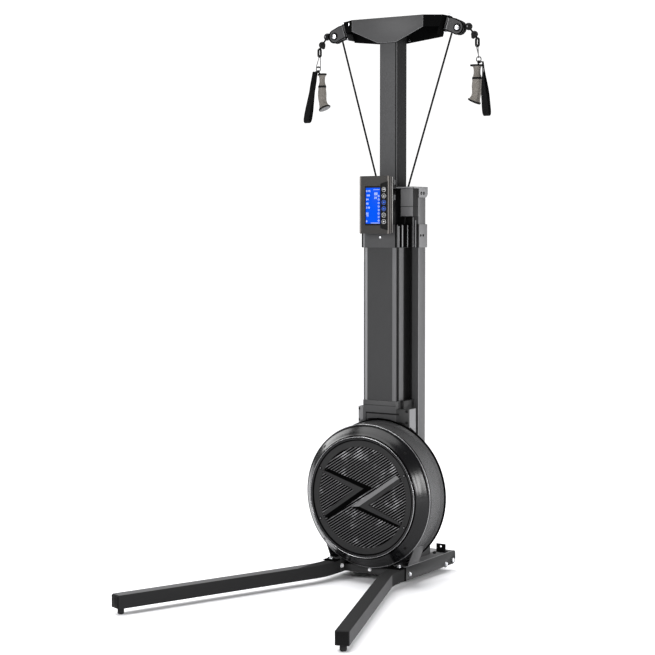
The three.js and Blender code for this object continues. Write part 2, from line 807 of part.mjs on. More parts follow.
function rightBracket() {
  const outline = bracketOutline();
  const front = bracketY - bracketHalfWidth;
  const back = bracketY + bracketHalfWidth;
  const cheeks = prism(outline, 'y', front, front + bracketSheet).add(
    prism(outline, 'y', back - bracketSheet, back));
  const barrel = rod('z', barrelRadius, -barrelHalf, barrelHalf, 0, 0);
  const web = block(-webRearReach, 0, -bracketHalfWidth, bracketHalfWidth, -barrelHalf, barrelHalf);
  const hinge = atHinge(barrel.add(web));
  const rearCut = block(-overrun * 2, -webRearReach, -overrun * 2, overrun * 2, -overrun * 3, overrun * 3);
  const behind = atHinge(rearCut);
  const capTop = atHinge(rod('z', barrelClear, barrelHalf, barrelHalf + overrun * 2, 0, 0, roundSides));
  const capFoot = atHinge(rod('z', barrelClear, -barrelHalf - overrun * 2, -barrelHalf, 0, 0, roundSides));
  const axle = rod('y', pulleyAxleRadius + gap, front - overrun, back + overrun, pulleyX, pulleyZ);
  const pin = atHinge(rod('z', hingePinRadius + gap, -barrelHalf - overrun, barrelHalf + overrun, 0, 0));
  const plates = cheeks.subtract(behind).subtract(capTop).subtract(capFoot);
  return plates.add(hinge).subtract(axle).subtract(pin);
}

function rightPulley() {
  const bore = pulleyAxleRadius + gap;
  const w = pulleyHalfWidth;
  const profile = [[bore, -w], [pulleyRadius, -w], [pulleyGrooveRadius, -pulleyGrooveFlat],
    [pulleyGrooveRadius, pulleyGrooveFlat], [pulleyRadius, w], [bore, w]];
  return turned(profile, roundSides).translate([pulleyX, pulleyY, pulleyZ]);
}

function rightPulleyAxle() {
  const front = bracketY - bracketHalfWidth - gap;
  const back = bracketY + bracketHalfWidth + gap;
  const stem = rod('y', pulleyAxleRadius, front, back, pulleyX, pulleyZ);
  const head = rod('y', pulleyBoltRadius, front - pulleyBoltHead, front, pulleyX, pulleyZ, roundSides);
  const nut = rod('y', pulleyBoltRadius, back, back + pulleyBoltHead, pulleyX, pulleyZ, wireSides);
  return joined([stem, head, nut]);
}

// Where a straight line from a point in the X-Z plane touches the rope's lay on the pulley
function tangentAngle(x, z, side) {
  const away = Math.atan2(z - pulleyZ, x - pulleyX);
  const distance = Math.hypot(x - pulleyX, z - pulleyZ);
  return away + side * Math.acos(ropeLay / distance);
}

function layPoint(angle) {
  return new THREE.Vector3(pulleyX + ropeLay * Math.cos(angle), pulleyY, pulleyZ + ropeLay * Math.sin(angle));
}

function firstBallAt() {
  const away = bracketEndRadius + gap + ballBelt;
  const angle = Math.atan2(ringWire, away);
  return new THREE.Vector3(pulleyX + away * Math.cos(angle), pulleyY, pulleyZ + away * Math.sin(angle));
}

// Rope of the right side from the stop ball over the pulley, down the column and onto its drum
function ropeRun(drumY) {
  const first = firstBallAt();
  const outAngle = tangentAngle(first.x, first.z, 1);
  const inAngle = tangentAngle(ropeHeadX, headTop, -1) + 2 * Math.PI;
  const leave = layPoint(outAngle);
  const towards = leave.clone().sub(first).normalize();
  const start = first.clone().addScaledVector(towards, ballBelt + gap);
  const arc = [start];
  for (let i = 0; i <= ropeArcSteps; i += 1) {
    arc.push(layPoint(outAngle + ((inAngle - outAngle) * i) / ropeArcSteps));
  }
  const head = new THREE.Vector3(ropeHeadX, ropeHeadY, headTop);
  const last = layPoint(inAngle);
  const downwards = head.clone().sub(last).normalize();
  arc.push(last.clone().addScaledVector(downwards, 2 * ropeRadius));
  const lay = new THREE.Vector3(drumLay, drumY, hubZ);
  const column = new THREE.Vector3(ropeColumnX, ropeColumnY, coverTop);
  const guide = new THREE.Vector3(ropeGuideX, ropeGuideY, guideBottom);
  const upper = [last.clone().addScaledVector(downwards, ropeRadius), head];
  const inside = [head.clone().addScaledVector(downwards, -ropeRadius), head, guide, column,
    column.clone().lerp(lay, 0.5), lay];
  return joined([tube(arc, ropeRadius, ropeArcSteps + 4, ropeSides), tube(upper, ropeRadius, 1, ropeSides),
    tube(inside, ropeRadius, ropeRunSteps, ropeSides)]);
}

// Rope end: two stop balls on the rope and the eye under them
function rightRopeEnd() {
  const first = firstBallAt();
  const second = [secondBallX, pulleyY, secondBallZ];
  const eyeTop = [eyeX, pulleyY, eyeZ + eyeHalfHeight];
  return joined([ball(ballRadius, first.x, first.y, first.z), ball(ballRadius, ...second),
    bar(first.toArray(), second, ropeRadius, ropeSides), bar(second, eyeTop, ropeRadius, ropeSides),
    eyeSide(1), eyeSide(-1), ball(ropeRadius, ...eyeTop, ropeSides),
    ball(eyeStrand, eyeX, pulleyY, eyeZ - eyeHalfHeight, wireSides)]);
}

// Half of the long eye, from its top round one side to its foot
function eyeSide(side) {
  const bend = eyeHalfWidth;
  const straight = eyeHalfHeight - bend;
  const upper = [];
  const lower = [];
  for (let i = 0; i <= arcSteps; i += 1) {
    const turn = (Math.PI * i) / (2 * arcSteps);
    const out = side * bend * Math.sin(turn);
    upper.push(new THREE.Vector3(eyeX + out, pulleyY, eyeZ + straight + bend * Math.cos(turn)));
    lower.unshift(new THREE.Vector3(eyeX + out, pulleyY, eyeZ - straight - bend * Math.cos(turn)));
  }
  return tube([...upper, ...lower], eyeStrand, 2 * arcSteps + 1, wireSides);
}

// Wire link through the eye, one wire before it and one behind, with the ring welded under it
function rightLink() {
  const y = pulleyY;
  const aside = eyeStrand + wireRadius + gap;
  const apexZ = eyeZ - eyeHalfHeight + aside;
  const clearZ = eyeZ - eyeHalfHeight - aside;
  const footZ = ringZ + ringRadius + wireRadius;
  const apex = [[eyeX, y - aside, apexZ], [eyeX, y + aside, apexZ]];
  const bend = [[eyeX, y - aside, clearZ], [eyeX, y + aside, clearZ]];
  const foot = [[ringX - linkFootHalf, y, footZ], [ringX + linkFootHalf, y, footZ]];
  const ring = new THREE.TorusGeometry(ringRadius, ringWire, wireSides, roundSides);
  ring.rotateX(Math.PI / 2).translate(ringX, y, ringZ);
  const wires = [[apex[0], apex[1]], [apex[0], bend[0]], [apex[1], bend[1]], [bend[0], foot[0]],
    [bend[1], foot[1]], [foot[0], foot[1]]];
  const knots = [...apex, ...bend, ...foot].map((at) => ball(wireRadius, ...at, wireSides));
  const bars = wires.map(([from, to]) => bar(from, to, wireRadius, wireSides));
  return joined([...bars, ...knots, solid(ring)]);
}

// Grip turned round an upright line, then bent inwards at its lower end, hung from a lug on the ring
function rightGrip() {
  const profile = [[0, 0], [gripTopRadius, 0], [gripTopRadius, gripTopThick],
    [gripNeckRadius, gripTopThick * 2],
    [gripNeckRadius, gripCollarStart - gripTopThick], [gripCollarRadius, gripCollarStart],
    [gripCollarRadius, gripCollarEnd], [gripBulgeRadius, gripBulgeAt - gripTopThick],
    [gripBulgeRadius, gripBulgeAt + gripTopThick], [gripWaistRadius, gripWaistAt],
    [gripFlareRadius, gripFlareAt], [gripFootRadius, gripFlareAt + gripTopThick / 2],
    [gripFootRadius, gripLength], [0, gripLength]];
  const points = profile.map(([radius, down]) => new THREE.Vector2(radius, down));
  const dense = [];
  points.forEach((point, i) => {
    if (i > 0 && point.y > gripBendStart) dense.push(points[i - 1].clone().lerp(point, 0.5));
    dense.push(point);
  });
  const lathe = new THREE.LatheGeometry(dense, smallSides);
  const place = lathe.attributes.position;
  for (let i = 0; i < place.count; i += 1) {
    const down = place.getY(i);
    const past = Math.max(0, down - gripBendStart);
    const tilt = Math.atan(2 * gripBendRate * past);
    const x = gripX - gripBendRate * past * past + place.getX(i) * Math.cos(tilt);
    const z = gripTopZ - down - place.getX(i) * Math.sin(tilt);
    place.setXYZ(i, x, gripY + place.getZ(i), z);
  }
  return solid(lathe).add(gripLug());
}

function gripLug() {
  const axisZ = ringZ - ringRadius;
  const eye = rod('x', lugOuter, ringX - lugHalf, ringX + lugHalf, pulleyY, axisZ);
  const stalk = bar([ringX - ringWire, pulleyY, axisZ - lugBore - wireRadius],
    [gripX + lugHalf, gripY, gripTopZ - gripTopThick], lugBore);
  const bore = rod('x', lugBore, ringX - lugHalf - overrun, ringX + lugHalf + overrun, pulleyY, axisZ);
  return eye.add(stalk).subtract(bore);
}

// Wrist strap: a closed band of webbing, narrow at the top and open at the foot
function rightStrap() {
  const outline = strapOutline(0);
  outline.holes.push(strapOutline(strapThick));
  const band = prism(outline, 'x', 0, strapWidth);
  const aside = THREE.MathUtils.radToDeg(strapLean);
  const forward = THREE.MathUtils.radToDeg(strapForward);
  const topZ = ringZ - ringRadius - ringWire;
  return band.rotate([-forward, -aside, 0]).translate([ringX + lugHalf + gap, pulleyY, topZ]);
}

function strapOutline(inset) {
  const shape = new THREE.Shape();
  const top = strapGapTop / 2 + strapThick - inset;
  const foot = strapGapFoot / 2 + strapThick - inset;
  const footZ = -strapLength + strapGapFoot / 2 + strapThick;
  const waist = strapLength / 5;
  shape.moveTo(-top, -top - inset);
  shape.bezierCurveTo(-top, -waist, -foot, footZ + 2 * waist, -foot, footZ);
  shape.absarc(0, footZ, foot, Math.PI, 2 * Math.PI, false);
  shape.bezierCurveTo(foot, footZ + 2 * waist, top, -waist, top, -top - inset);
  shape.absarc(0, -top - inset, top, 0, Math.PI, false);
  return shape;
}

// Front shroud: a raised lip, the seat of the guard and a flared skirt
function fanShroud() {
  const seatFront = guardFront - guardThickness - gap;
  const lipInner = guardRadius + gap;
  const profile = [[lipInner, -lipFront], [lipOuter, -lipFront],
    [lipOuter + shroudWall, -lipFront + shroudWall / 2],
    [shroudRadius - shroudWall, -shroudShoulder - shroudWall], [shroudRadius, -shroudShoulder],
    [shroudRadius, -shroudBack], [shroudRadius - shroudWall, -shroudBack],
    [shroudRadius - shroudWall, -shroudShoulder + shroudWall / 2],
    [lipOuter, -seatFront + seatThickness + shroudWall], [seatRadius, -seatFront + seatThickness],
    [seatRadius, -seatFront], [lipInner, -seatFront]];
  return onHub(turned(profile, drumSides));
}

function meshBand() {
  const front = -shroudBack + gap;
  const profile = [[bandRadius - bandWall, front], [bandRadius, front], [bandRadius, -bandBack],
    [bandRadius - bandWall, -bandBack]];
  const skirt = bandSkirt(front);
  return joined([onHub(turned(profile, drumSides)), skirt, mirrored(skirt)]);
}

// Folded sheet that leaves the band's lower side and ends in a toe on top of the beam
function bandSkirt(front) {
  const drop = hubZ - skirtTopZ;
  const topX = Math.sqrt(bandRadius ** 2 - drop ** 2) - gap;
  const low = beamTop + gap;
  const innerX = skirtFootX - skirtSheet;
  const outline = polygon([[topX, skirtTopZ], [skirtFootX, skirtFootZ], [skirtFootX, low], [skirtToeX, low],
    [skirtToeX, low + skirtSheet], [innerX, low + skirtSheet], [innerX, skirtFootZ],
    [topX - skirtSheet, skirtTopZ - skirtSheet / 2]]);
  return prism(outline, 'y', front, -bandBack);
}

// Rear cover: a disc with a grooved rim, the shaft's bearing boss and the drive case behind it
function fanBack() {
  const bore = shaftRadius + gap;
  const discBack = -backDiscFront + backDiscThick;
  const rimEdge = ringWire;
  const profile = [[bore, -bearingFront], [bearingRadius, -bearingFront], [bearingRadius, -backDiscFront],
    [bandRadius, -backDiscFront], [bandRadius, -backDiscFront + bandWall],
    [backWaistRadius, -backDiscFront + bandWall], [backWaistRadius, -backRimFront],
    [backRimRadius - rimEdge, -backRimFront], [backRimRadius, -backRimFront + rimEdge],
    [backRimRadius, -backRimBack - rimEdge], [backRimRadius - rimEdge, -backRimBack],
    [backWaistRadius - backDiscThick, -backRimBack], [backWaistRadius - backDiscThick, discBack],
    [bearingRadius, discBack], [bearingRadius, -bearingBack], [bore, -bearingBack]];
  const disc = onHub(turned(profile, drumSides));
  const rear = mastFront - gap;
  const outer = block(-caseHalfWidth, caseHalfWidth, discBack - backDiscThick / 2, rear, caseBottom, caseTop);
  const half = caseHalfWidth - caseWall;
  const inner = block(-half, half, discBack, rear + overrun, caseBottom + caseWall, caseTop + overrun);
  const shaftRoom = rod('y', bearingRadius - bandWall, -backDiscFront, rear + overrun, 0, hubZ, drumSides);
  return disc.add(outer.subtract(inner).subtract(shaftRoom));
}

// Guard: an outer ring, parallel slats clipped to the louvre circle and two opposed chevron ribs
function fanGuard() {
  const back = -guardFront + guardThickness;
  const ringProfile = [[louvreRadius, -guardFront], [guardRadius, -guardFront], [guardRadius, back],
    [louvreRadius, back]];
  const ring = turned(ringProfile, drumSides);
  const degrees = THREE.MathUtils.radToDeg(slatTilt);
  const slats = [];
  for (let i = 1; i < slatCount; i += 1) {
    const offset = -louvreRadius + i * slatPitch;
    const half = Math.sqrt(louvreRadius ** 2 - offset ** 2) + slatThickness / 2;
    const aside = slatThickness / 2;
    const slat = block(-half, half, -guardFront + ribFlank, back, offset - aside, offset + aside);
    slats.push(slat.rotate([0, -degrees, 0]));
  }
  const rib = chevronRib(back);
  const turnedRib = rib.rotate([0, 180, 0]);
  return onHub(joined([ring, ...slats, rib, turnedRib]));
}

function chevronRib(back) {
  const scaled = (shares) => polygon(shares.map(([u, v]) => [u * louvreRadius, v * louvreRadius]));
  const foot = prism(scaled(ribFootShares), 'y', -guardFront - ribFlank, back);
  const crest = prism(scaled(ribCrestShares), 'y', -guardFront - ribRise, back);
  return foot.add(crest);
}

function fanShaft() {
  return rod('y', shaftRadius, -shaftFront, mastFront - gap, 0, hubZ, roundSides);
}

// Rotor: hub, back disc and a ring of leaning blades
function fanRotor() {
  const bore = shaftRadius + gap;
  const discBack = -rotorDisc + rotorDiscThick;
  const profile = [[bore, -rotorFront], [rotorHubRadius, -rotorFront], [rotorHubRadius, -rotorDisc],
    [rotorRadius, -rotorDisc], [rotorRadius, discBack], [bore, discBack]];
  const hub = turned(profile, roundSides);
  const blades = [];
  for (let i = 0; i < bladeCount; i += 1) {
    const long = rotorRadius - rotorBladeRoot;
    const blade = block(-long / 2, long / 2, -rotorFront, -rotorDisc + rotorDiscThick / 2,
      -bladeThickness / 2, bladeThickness / 2);
    const leaned = blade.rotate([0, THREE.MathUtils.radToDeg(bladeLean), 0]);
    const out = leaned.translate([rotorBladeRoot + long / 2 - bladeThickness, 0, 0]);
    blades.push(out.rotate([0, (360 * i) / bladeCount, 0]));
  }
  return onHub(joined([hub, ...blades]));
}

function ropeDrum(middleY) {
  const bore = shaftRadius + gap;
  const half = drumWidth / 2;
  const groove = half - drumFlange;
  const profile = [[bore, -half], [drumFlangeRadius, -half], [drumFlangeRadius, -groove],
    [drumRadius, -groove],
    [drumRadius, groove], [drumFlangeRadius, groove], [drumFlangeRadius, half], [bore, half]];
  return onHub(turned(profile, roundSides)).translate([0, middleY, 0]);
}

// Neck bracket: a shoe under the column cover, swept wings, side plates and a box back to the mast
function fanBracket() {
  const rear = mastFront - gap;
  const flangeBack = -neckFlangeY + neckFlangeThick;
  const low = caseTop + gap;
  const shoe = block(-coverHalfWidth, coverHalfWidth, -coverFront, flangeBack, neckFlangeBottom, neckTop);
  const plan = polygon([[-coverHalfWidth, -coverFront], [coverHalfWidth, -coverFront],
    [neckFlangeHalf, -neckFlangeY], [neckFlangeHalf, flangeBack], [-neckFlangeHalf, flangeBack],
    [-neckFlangeHalf, -neckFlangeY]]);
  const wings = prism(plan, 'z', neckFlangeBottom, neckSideTop);
  const box = block(-neckBoxHalf, neckBoxHalf, -neckFlangeY, rear, low, neckTop);
  const outline = polygon([[-neckFlangeY, neckSideTop], [-neckFlangeY, neckSideElbow],
    [-neckSideBack, neckSideTip], [-neckSideBack, neckSideTop]]);
  const side = prism(outline, 'x', neckFlangeHalf - neckSideThick, neckFlangeHalf);
  const bore = block(-neckBoreHalf, neckBoreHalf, -coverFront + coverWall, rear + overrun,
    low - overrun, neckTop + overrun);
  const drum = rod('y', neckDrumClear, -coverFront - overrun, -neckCutBack, 0, hubZ, drumSides);
  return joined([shoe, wings, box, side, mirrored(side)]).subtract(bore).subtract(drum);
}

function roundedPanel(x0, x1, z0, z1, r) {
  const shape = new THREE.Shape();
  shape.moveTo(x0 + r, z0);
  shape.lineTo(x1 - r, z0);
  shape.absarc(x1 - r, z0 + r, r, -Math.PI / 2, 0, false);
  shape.lineTo(x1, z1 - r);
  shape.absarc(x1 - r, z1 - r, r, 0, Math.PI / 2, false);
  shape.lineTo(x0 + r, z1);
  shape.absarc(x0 + r, z1 - r, r, Math.PI / 2, Math.PI, false);
  shape.lineTo(x0, z0 + r);
  shape.absarc(x0 + r, z0 + r, r, Math.PI, 1.5 * Math.PI, false);
  return shape;
}

function consoleCase() {
  const panel = roundedPanel(-consoleHalfWidth, consoleHalfWidth, consoleBottom, consoleTop, consoleCorner);
  const body = prism(panel, 'y', -consoleFront, -consoleBack);
  const pocket = block(screenLeftX - gap, screenRightX + gap, -consoleFront - overrun,
    -consoleFront + screenRecess + screenThick + gap, screenBottom - gap, screenTop + gap);
  const depth = -consoleFront + buttonBody + buttonTravel + gap;
  const bores = [];
  for (let i = 0; i < buttonCount; i += 1) {
    bores.push(rod('y', buttonBore, -consoleFront - overrun, depth, buttonX, buttonTopZ - i * buttonPitch));
  }
  return bores.reduce((rest, bore) => rest.subtract(bore), body.subtract(pocket));
}

function consoleScreen() {
  const front = -consoleFront + screenRecess;
  return block(screenLeftX, screenRightX, front, front + screenThick, screenBottom, screenTop);
}

function consoleButton(index) {
  const z = buttonTopZ - index * buttonPitch;
  return rod('y', buttonRadius, -consoleFront - buttonProud, -consoleFront + buttonBody, buttonX, z);
}

// The machine, centred on its footprint
const machine = new THREE.Group();

function add(name, finish, body) {
  const source = body.getMesh();
  const geometry = new THREE.BufferGeometry();
  geometry.setAttribute('position', new THREE.BufferAttribute(source.vertProperties, 3));
  geometry.setIndex(new THREE.BufferAttribute(source.triVerts, 1));
  const mesh = new THREE.Mesh(geometry, finishes[finish]());
  mesh.name = name;
  machine.add(mesh);
}

function addPair(name, finish, right) {
  add(`${name}_right`, finish, right);
  add(`${name}_left`, finish, mirrored(right));
}

addPair('leg', 'frame', rightLeg());
addPair('front_foot', 'rubber', rightFrontFoot());
addPair('rear_foot', 'rubber', rightRearFoot());
addPair('leg_clamp', 'black', rightClamp());
addPair('base_beam', 'frame', rightBeam());
add('front_cross_member', 'black', frontCross());
add('rear_deck', 'frame', rearDeck());
add('wheel_axle', 'zinc', wheelAxle());
addPair('transport_wheel', 'rubber', rightWheel());
add('hook_tab', 'black', hookTab());
add('mast_foot', 'frame', mastFoot());
add('mast', 'panel', mast());
add('mast_head', 'frame', mastHead());
addPair('rope_guide', 'panel', rightGuide());
add('column_cover', 'cover', columnCover());
add('console_collar', 'panel', consoleCollar());
add('upper_post', 'panel', upperPost());
add('crossbar', 'panel', crossbar());
addPair('hinge_pin', 'zinc', rightHingePin());
addPair('pulley_bracket', 'panel', rightBracket());
addPair('pulley', 'black', rightPulley());
addPair('pulley_axle', 'zinc', rightPulleyAxle());
add('rope_run_right', 'rope', ropeRun(rightDrumY));
add('rope_run_left', 'rope', mirrored(ropeRun(leftDrumY)));
addPair('rope_end', 'rope', rightRopeEnd());
addPair('handle_link', 'zinc', rightLink());
addPair('handle_grip', 'grip', rightGrip());
addPair('wrist_strap', 'strap', rightStrap());
add('fan_shroud', 'gloss', fanShroud());
add('mesh_band', 'mesh', meshBand());
add('fan_back', 'black', fanBack());
add('fan_guard', 'cover', fanGuard());
add('fan_rotor', 'rotor', fanRotor());
add('fan_shaft', 'zinc', fanShaft());
add('rope_drum_right', 'black', ropeDrum(rightDrumY));
add('rope_drum_left', 'black', ropeDrum(leftDrumY));
add('fan_bracket', 'panel', fanBracket());
add('console_case', 'black', consoleCase());
add('console_screen', 'screen', consoleScreen());
for (let i = 0; i < buttonCount; i += 1) add(`console_button_${i + 1}`, 'cover', consoleButton(i));

const wheelBack = axleY + wheelRadius;
const legFront = legReach + (legSide / 2) * Math.sin(legSplay);
machine.position.y = (legFront - Math.max(beamRear, wheelBack)) / 2;

export default machine;
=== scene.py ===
"""Looks of a ski trainer: frame and tower in dark powder coat, a glossy fan, roped hand grips and a lit console."""
import math

import bmesh
import bpy
from mathutils import Matrix, Vector


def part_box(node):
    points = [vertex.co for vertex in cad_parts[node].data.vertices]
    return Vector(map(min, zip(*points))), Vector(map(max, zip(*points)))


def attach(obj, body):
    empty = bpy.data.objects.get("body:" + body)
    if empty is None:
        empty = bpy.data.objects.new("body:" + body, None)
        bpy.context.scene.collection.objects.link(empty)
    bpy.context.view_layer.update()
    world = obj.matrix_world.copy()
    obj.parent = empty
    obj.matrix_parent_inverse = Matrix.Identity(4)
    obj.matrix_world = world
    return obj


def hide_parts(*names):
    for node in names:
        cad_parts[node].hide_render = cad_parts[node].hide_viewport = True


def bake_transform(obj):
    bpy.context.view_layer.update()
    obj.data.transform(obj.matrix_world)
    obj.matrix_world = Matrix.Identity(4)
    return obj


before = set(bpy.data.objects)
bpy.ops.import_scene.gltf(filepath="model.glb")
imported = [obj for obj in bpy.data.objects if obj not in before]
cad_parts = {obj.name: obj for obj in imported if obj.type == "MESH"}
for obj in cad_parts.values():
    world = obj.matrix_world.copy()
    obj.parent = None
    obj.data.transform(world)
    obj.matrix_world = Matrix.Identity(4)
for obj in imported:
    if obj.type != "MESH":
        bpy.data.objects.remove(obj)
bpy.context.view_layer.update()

# The CAD tower stands round X = 0, Y = 0 in millimetres; the row's frame is centred on the footprint
post_low, post_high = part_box("upper_post")
TOWER_Y = (post_low.y + post_high.y) / 2
PLACE = Matrix.Translation((0, TOWER_Y, 0)) @ Matrix.Scale(0.001, 4)
SIDES = {"right": 1, "left": -1}
HUB_Z = 333
FAN_AXIS = (0, 0, HUB_Z)
AT_FAN = Matrix.Translation(FAN_AXIS)
DRUM_Y = {"right": -24, "left": -55}
ROPE_Y = 22
# Steps round a turned piece
DENSE = 120
FINE = 160

# The right leg's centre line in plan: straight from its root, bent outwards, then straight to its end
LEG_ROOT = Vector((146.5, -140))
BEND_START_Y = -238
BEND_RADIUS = 260
BEND_STEPS = 12
SPLAY = math.radians(21.3)
LEG_END_Y = -1125
LEG_HALF = 25
LEG_LOW = 22
LEG_TOP = 72
BEAM_SIDE = 175
LEG_BEND = Vector((LEG_ROOT.x + BEND_RADIUS * (1 - math.cos(SPLAY)), BEND_START_Y - BEND_RADIUS * math.sin(SPLAY)))
ZONE_BLUR = 0.25


def rotation(degrees, axis):
    return Matrix.Rotation(math.radians(degrees), 4, axis)


def stand(name, data):
    """Puts an object made of this data into the scene."""
    made = bpy.data.objects.new(name, data)
    bpy.context.scene.collection.objects.link(made)
    return made


def baked(name, bm):
    """The finished mesh of bm, which is freed."""
    mesh = bpy.data.meshes.new(name)
    bm.to_mesh(mesh)
    bm.free()
    return mesh


def outwards(bm):
    """Turns every face to look out."""
    bmesh.ops.recalc_face_normals(bm, faces=bm.faces)
    return bm


# The photograph's camera, in metres from the tower's foot and radians
FRAME_PIXELS = 655
FOCAL_PIXELS = 1621.7
SENSOR = 36
CAMERA_AT = Vector((3.22345, -5.48825, 1.3734))
CAMERA_TURN = 0.57138
CAMERA_DIP = 0.03892
CAMERA_SHIFT = -0.06


def set_camera():
    data = bpy.data.cameras.new("camera")
    data.sensor_width = SENSOR
    data.lens = SENSOR * FOCAL_PIXELS / FRAME_PIXELS
    data.shift_y = CAMERA_SHIFT
    data.clip_end = 60
    camera = stand("camera", data)
    camera.location = CAMERA_AT + Vector((0, TOWER_Y, 0))
    camera.rotation_euler = (math.pi / 2 - CAMERA_DIP, 0, CAMERA_TURN)
    bpy.context.scene.camera = camera


# Shader sockets and finishes

class Wire:
    """A shader socket that can stand in a sum."""

    def __init__(self, finish, socket):
        self.finish = finish
        self.socket = socket

    def __add__(self, other):
        return self.finish.maths("ADD", self, other)

    def __sub__(self, other):
        return self.finish.maths("SUBTRACT", self, other)

    def __rsub__(self, other):
        return self.finish.maths("SUBTRACT", other, self)

    def __mul__(self, other):
        return self.finish.maths("MULTIPLY", self, other)


class Finish:
    """A material with one principled shader and the nodes that feed it."""

    def __init__(self, name, **settings):
        self.material = bpy.data.materials.new(name)
        self.material.use_nodes = True
        self.tree = self.material.node_tree
        self.shader = next(n for n in self.tree.nodes if n.type == "BSDF_PRINCIPLED")
        for socket, value in settings.items():
            self.shader.inputs[socket.replace("_", " ")].default_value = value
        self.place = self.node("ShaderNodeTexCoord", {}, {}, "Object")

    def node(self, kind, settings, values, output=0):
        made = self.tree.nodes.new(kind)
        for key, value in settings.items():
            setattr(made, key, value)
        for key, value in values.items():
            if isinstance(value, Wire):
                self.tree.links.new(value.socket, made.inputs[key])
            else:
                made.inputs[key].default_value = value
        return Wire(self, made.outputs[output])

    def feed(self, socket, wire):
        self.tree.links.new(wire.socket, self.shader.inputs[socket])

    def noise(self, scale, detail=3.0, stretch=None):
        vector = self.place
        if stretch:
            vector = self.node("ShaderNodeMapping", {}, {"Vector": self.place, "Scale": stretch})
        return self.node("ShaderNodeTexNoise", {}, {"Vector": vector, "Scale": scale, "Detail": detail})

    def axes(self, vector=None):
        parts = self.node("ShaderNodeSeparateXYZ", {}, {0: vector or self.place})
        outputs = parts.socket.node.outputs
        return [Wire(self, outputs[i]) for i in range(3)]

    def maths(self, operation, *values):
        return self.node("ShaderNodeMath", {"operation": operation}, dict(enumerate(values)))

    def wave(self, wire, pitch=1.0):
        """A sine along the wire, one turn for each pitch."""
        return self.maths("SINE", wire * (2 * math.pi / pitch))

    def step(self, wire, low, high):
        return self.node("ShaderNodeMapRange", {"interpolation_type": "SMOOTHSTEP"},
                         {"Value": wire, "From Min": low, "From Max": high})

    def zone(self, **ranges):
        """1 inside the given ranges, in tower millimetres: x, y, z, wide for the size of x, across for the leg."""
        x, y, z = self.axes()
        places = {"x": x * 1000, "y": (y - TOWER_Y) * 1000, "z": z * 1000,
                  "wide": self.maths("ABSOLUTE", x) * 1000}
        if "across" in ranges:
            places["across"] = (places["wide"] - LEG_BEND.x) * math.cos(SPLAY) \
                + (places["y"] - LEG_BEND.y) * math.sin(SPLAY)
        mask = None
        for axis, (low, high) in ranges.items():
            at = places[axis]
            inside = self.step(at, low - ZONE_BLUR, low + ZONE_BLUR) \
                * (1 - self.step(at, high - ZONE_BLUR, high + ZONE_BLUR))
            mask = mask * inside if mask else inside
        return mask

    def painted(self, base, tone, zones, spread=0.18):
        """The base colour with zones of painted light and shade on it, each with the same cloudy tone."""
        for colour, ranges in zones:
            base = self.colour(self.zone(**ranges), base, self.cloudy(tone, colour, spread))
        return base

    def cloudy(self, tone, colour, spread):
        return self.colour(tone, shade(colour, 1 - spread), shade(colour, 1 + spread))

    def colour(self, mask, low, high):
        made = self.tree.nodes.new("ShaderNodeMix")
        made.data_type = "RGBA"
        for key, value in ((6, low), (7, high)):
            if isinstance(value, Wire):
                self.tree.links.new(value.socket, made.inputs[key])
            else:
                made.inputs[key].default_value = (*value, 1)
        self.tree.links.new(mask.socket, made.inputs[0])
        return Wire(self, made.outputs[2])

    def done(self, base, rough, height, depth):
        """Feeds the shader its colour, roughness and relief, and hands over the material."""
        relief = self.node("ShaderNodeBump", {}, {"Height": height, "Distance": depth, "Strength": 1.0}, "Normal")
        self.feed("Base Color", base)
        self.feed("Roughness", rough)
        self.feed("Normal", relief)
        return self.material


def shade(colour, factor):
    return tuple(min(1.0, channel * factor) for channel in colour)


def grey(level):
    """A neutral colour, a touch cool."""
    return level, level, level * 1.02


# Near-black for painted shade on sides, grooves and gaps that the lamps leave dark
PAINTED_SHADE = grey(0.003)
DEEP_BLACK = (0.001, 0.001, 0.0012)


def coated(name, colour, rough, grain=1400, height=0.00006, spread=0.18, sheen=0.22, zones=()):
    """Powder coat or moulded plastic: a fine grain, cloudy tone and a worn sheen."""
    finish = Finish(name, Specular_IOR_Level=sheen)
    clouds = finish.noise(9, 4)
    fine = finish.noise(grain, 2)
    tone = clouds * 0.7 + fine * 0.3
    base = finish.painted(finish.cloudy(tone, colour, spread), tone, zones, spread)
    return finish.done(base, clouds * 0.12 + fine * 0.08 + (rough - 0.1), fine, height)


def metal(name, colour, rough):
    finish = Finish(name, Metallic=1.0)
    streaks = finish.noise(260)
    base = finish.colour(streaks, shade(colour, 0.82), shade(colour, 1.1))
    return finish.done(base, streaks * 0.16 + (rough - 0.08), streaks, 0.00003)


def column_finish():
    """Fine upright grooves across the front of the column cover, with painted highlights on its corner strips and rib
    and painted shade on its sides and groove.
    """
    finish = Finish("column_grooves", Specular_IOR_Level=0.15)
    grooves = finish.wave(finish.axes()[0], 0.0021)
    fine = finish.noise(1200, 2)
    clouds = finish.noise(7, 4, (1, 1, 0.2))
    tone = grooves * 0.25 + clouds * 0.5 + 0.25
    base = finish.colour(tone, grey(0.026), grey(0.047))
    # Painted light: lighter corner strips and rib as painted highlights, near-black sides and groove as painted shade
    zones = [(grey(0.11), {"x": (57.5, 72.5)}), (grey(0.2), {"x": (-66, -55)}),
             (PAINTED_SHADE, {"wide": (69, 74.5), "y": (-92, 12)}), (PAINTED_SHADE, {"wide": (69, 72.2), "y": (-98, -79)}),
             (grey(0.085), {"wide": (72.3, 75), "y": (-78, -45)})]
    return finish.done(finish.painted(base, tone, zones), clouds * 0.14 + 0.42, grooves * 0.8 + fine * 0.2, 0.00022)


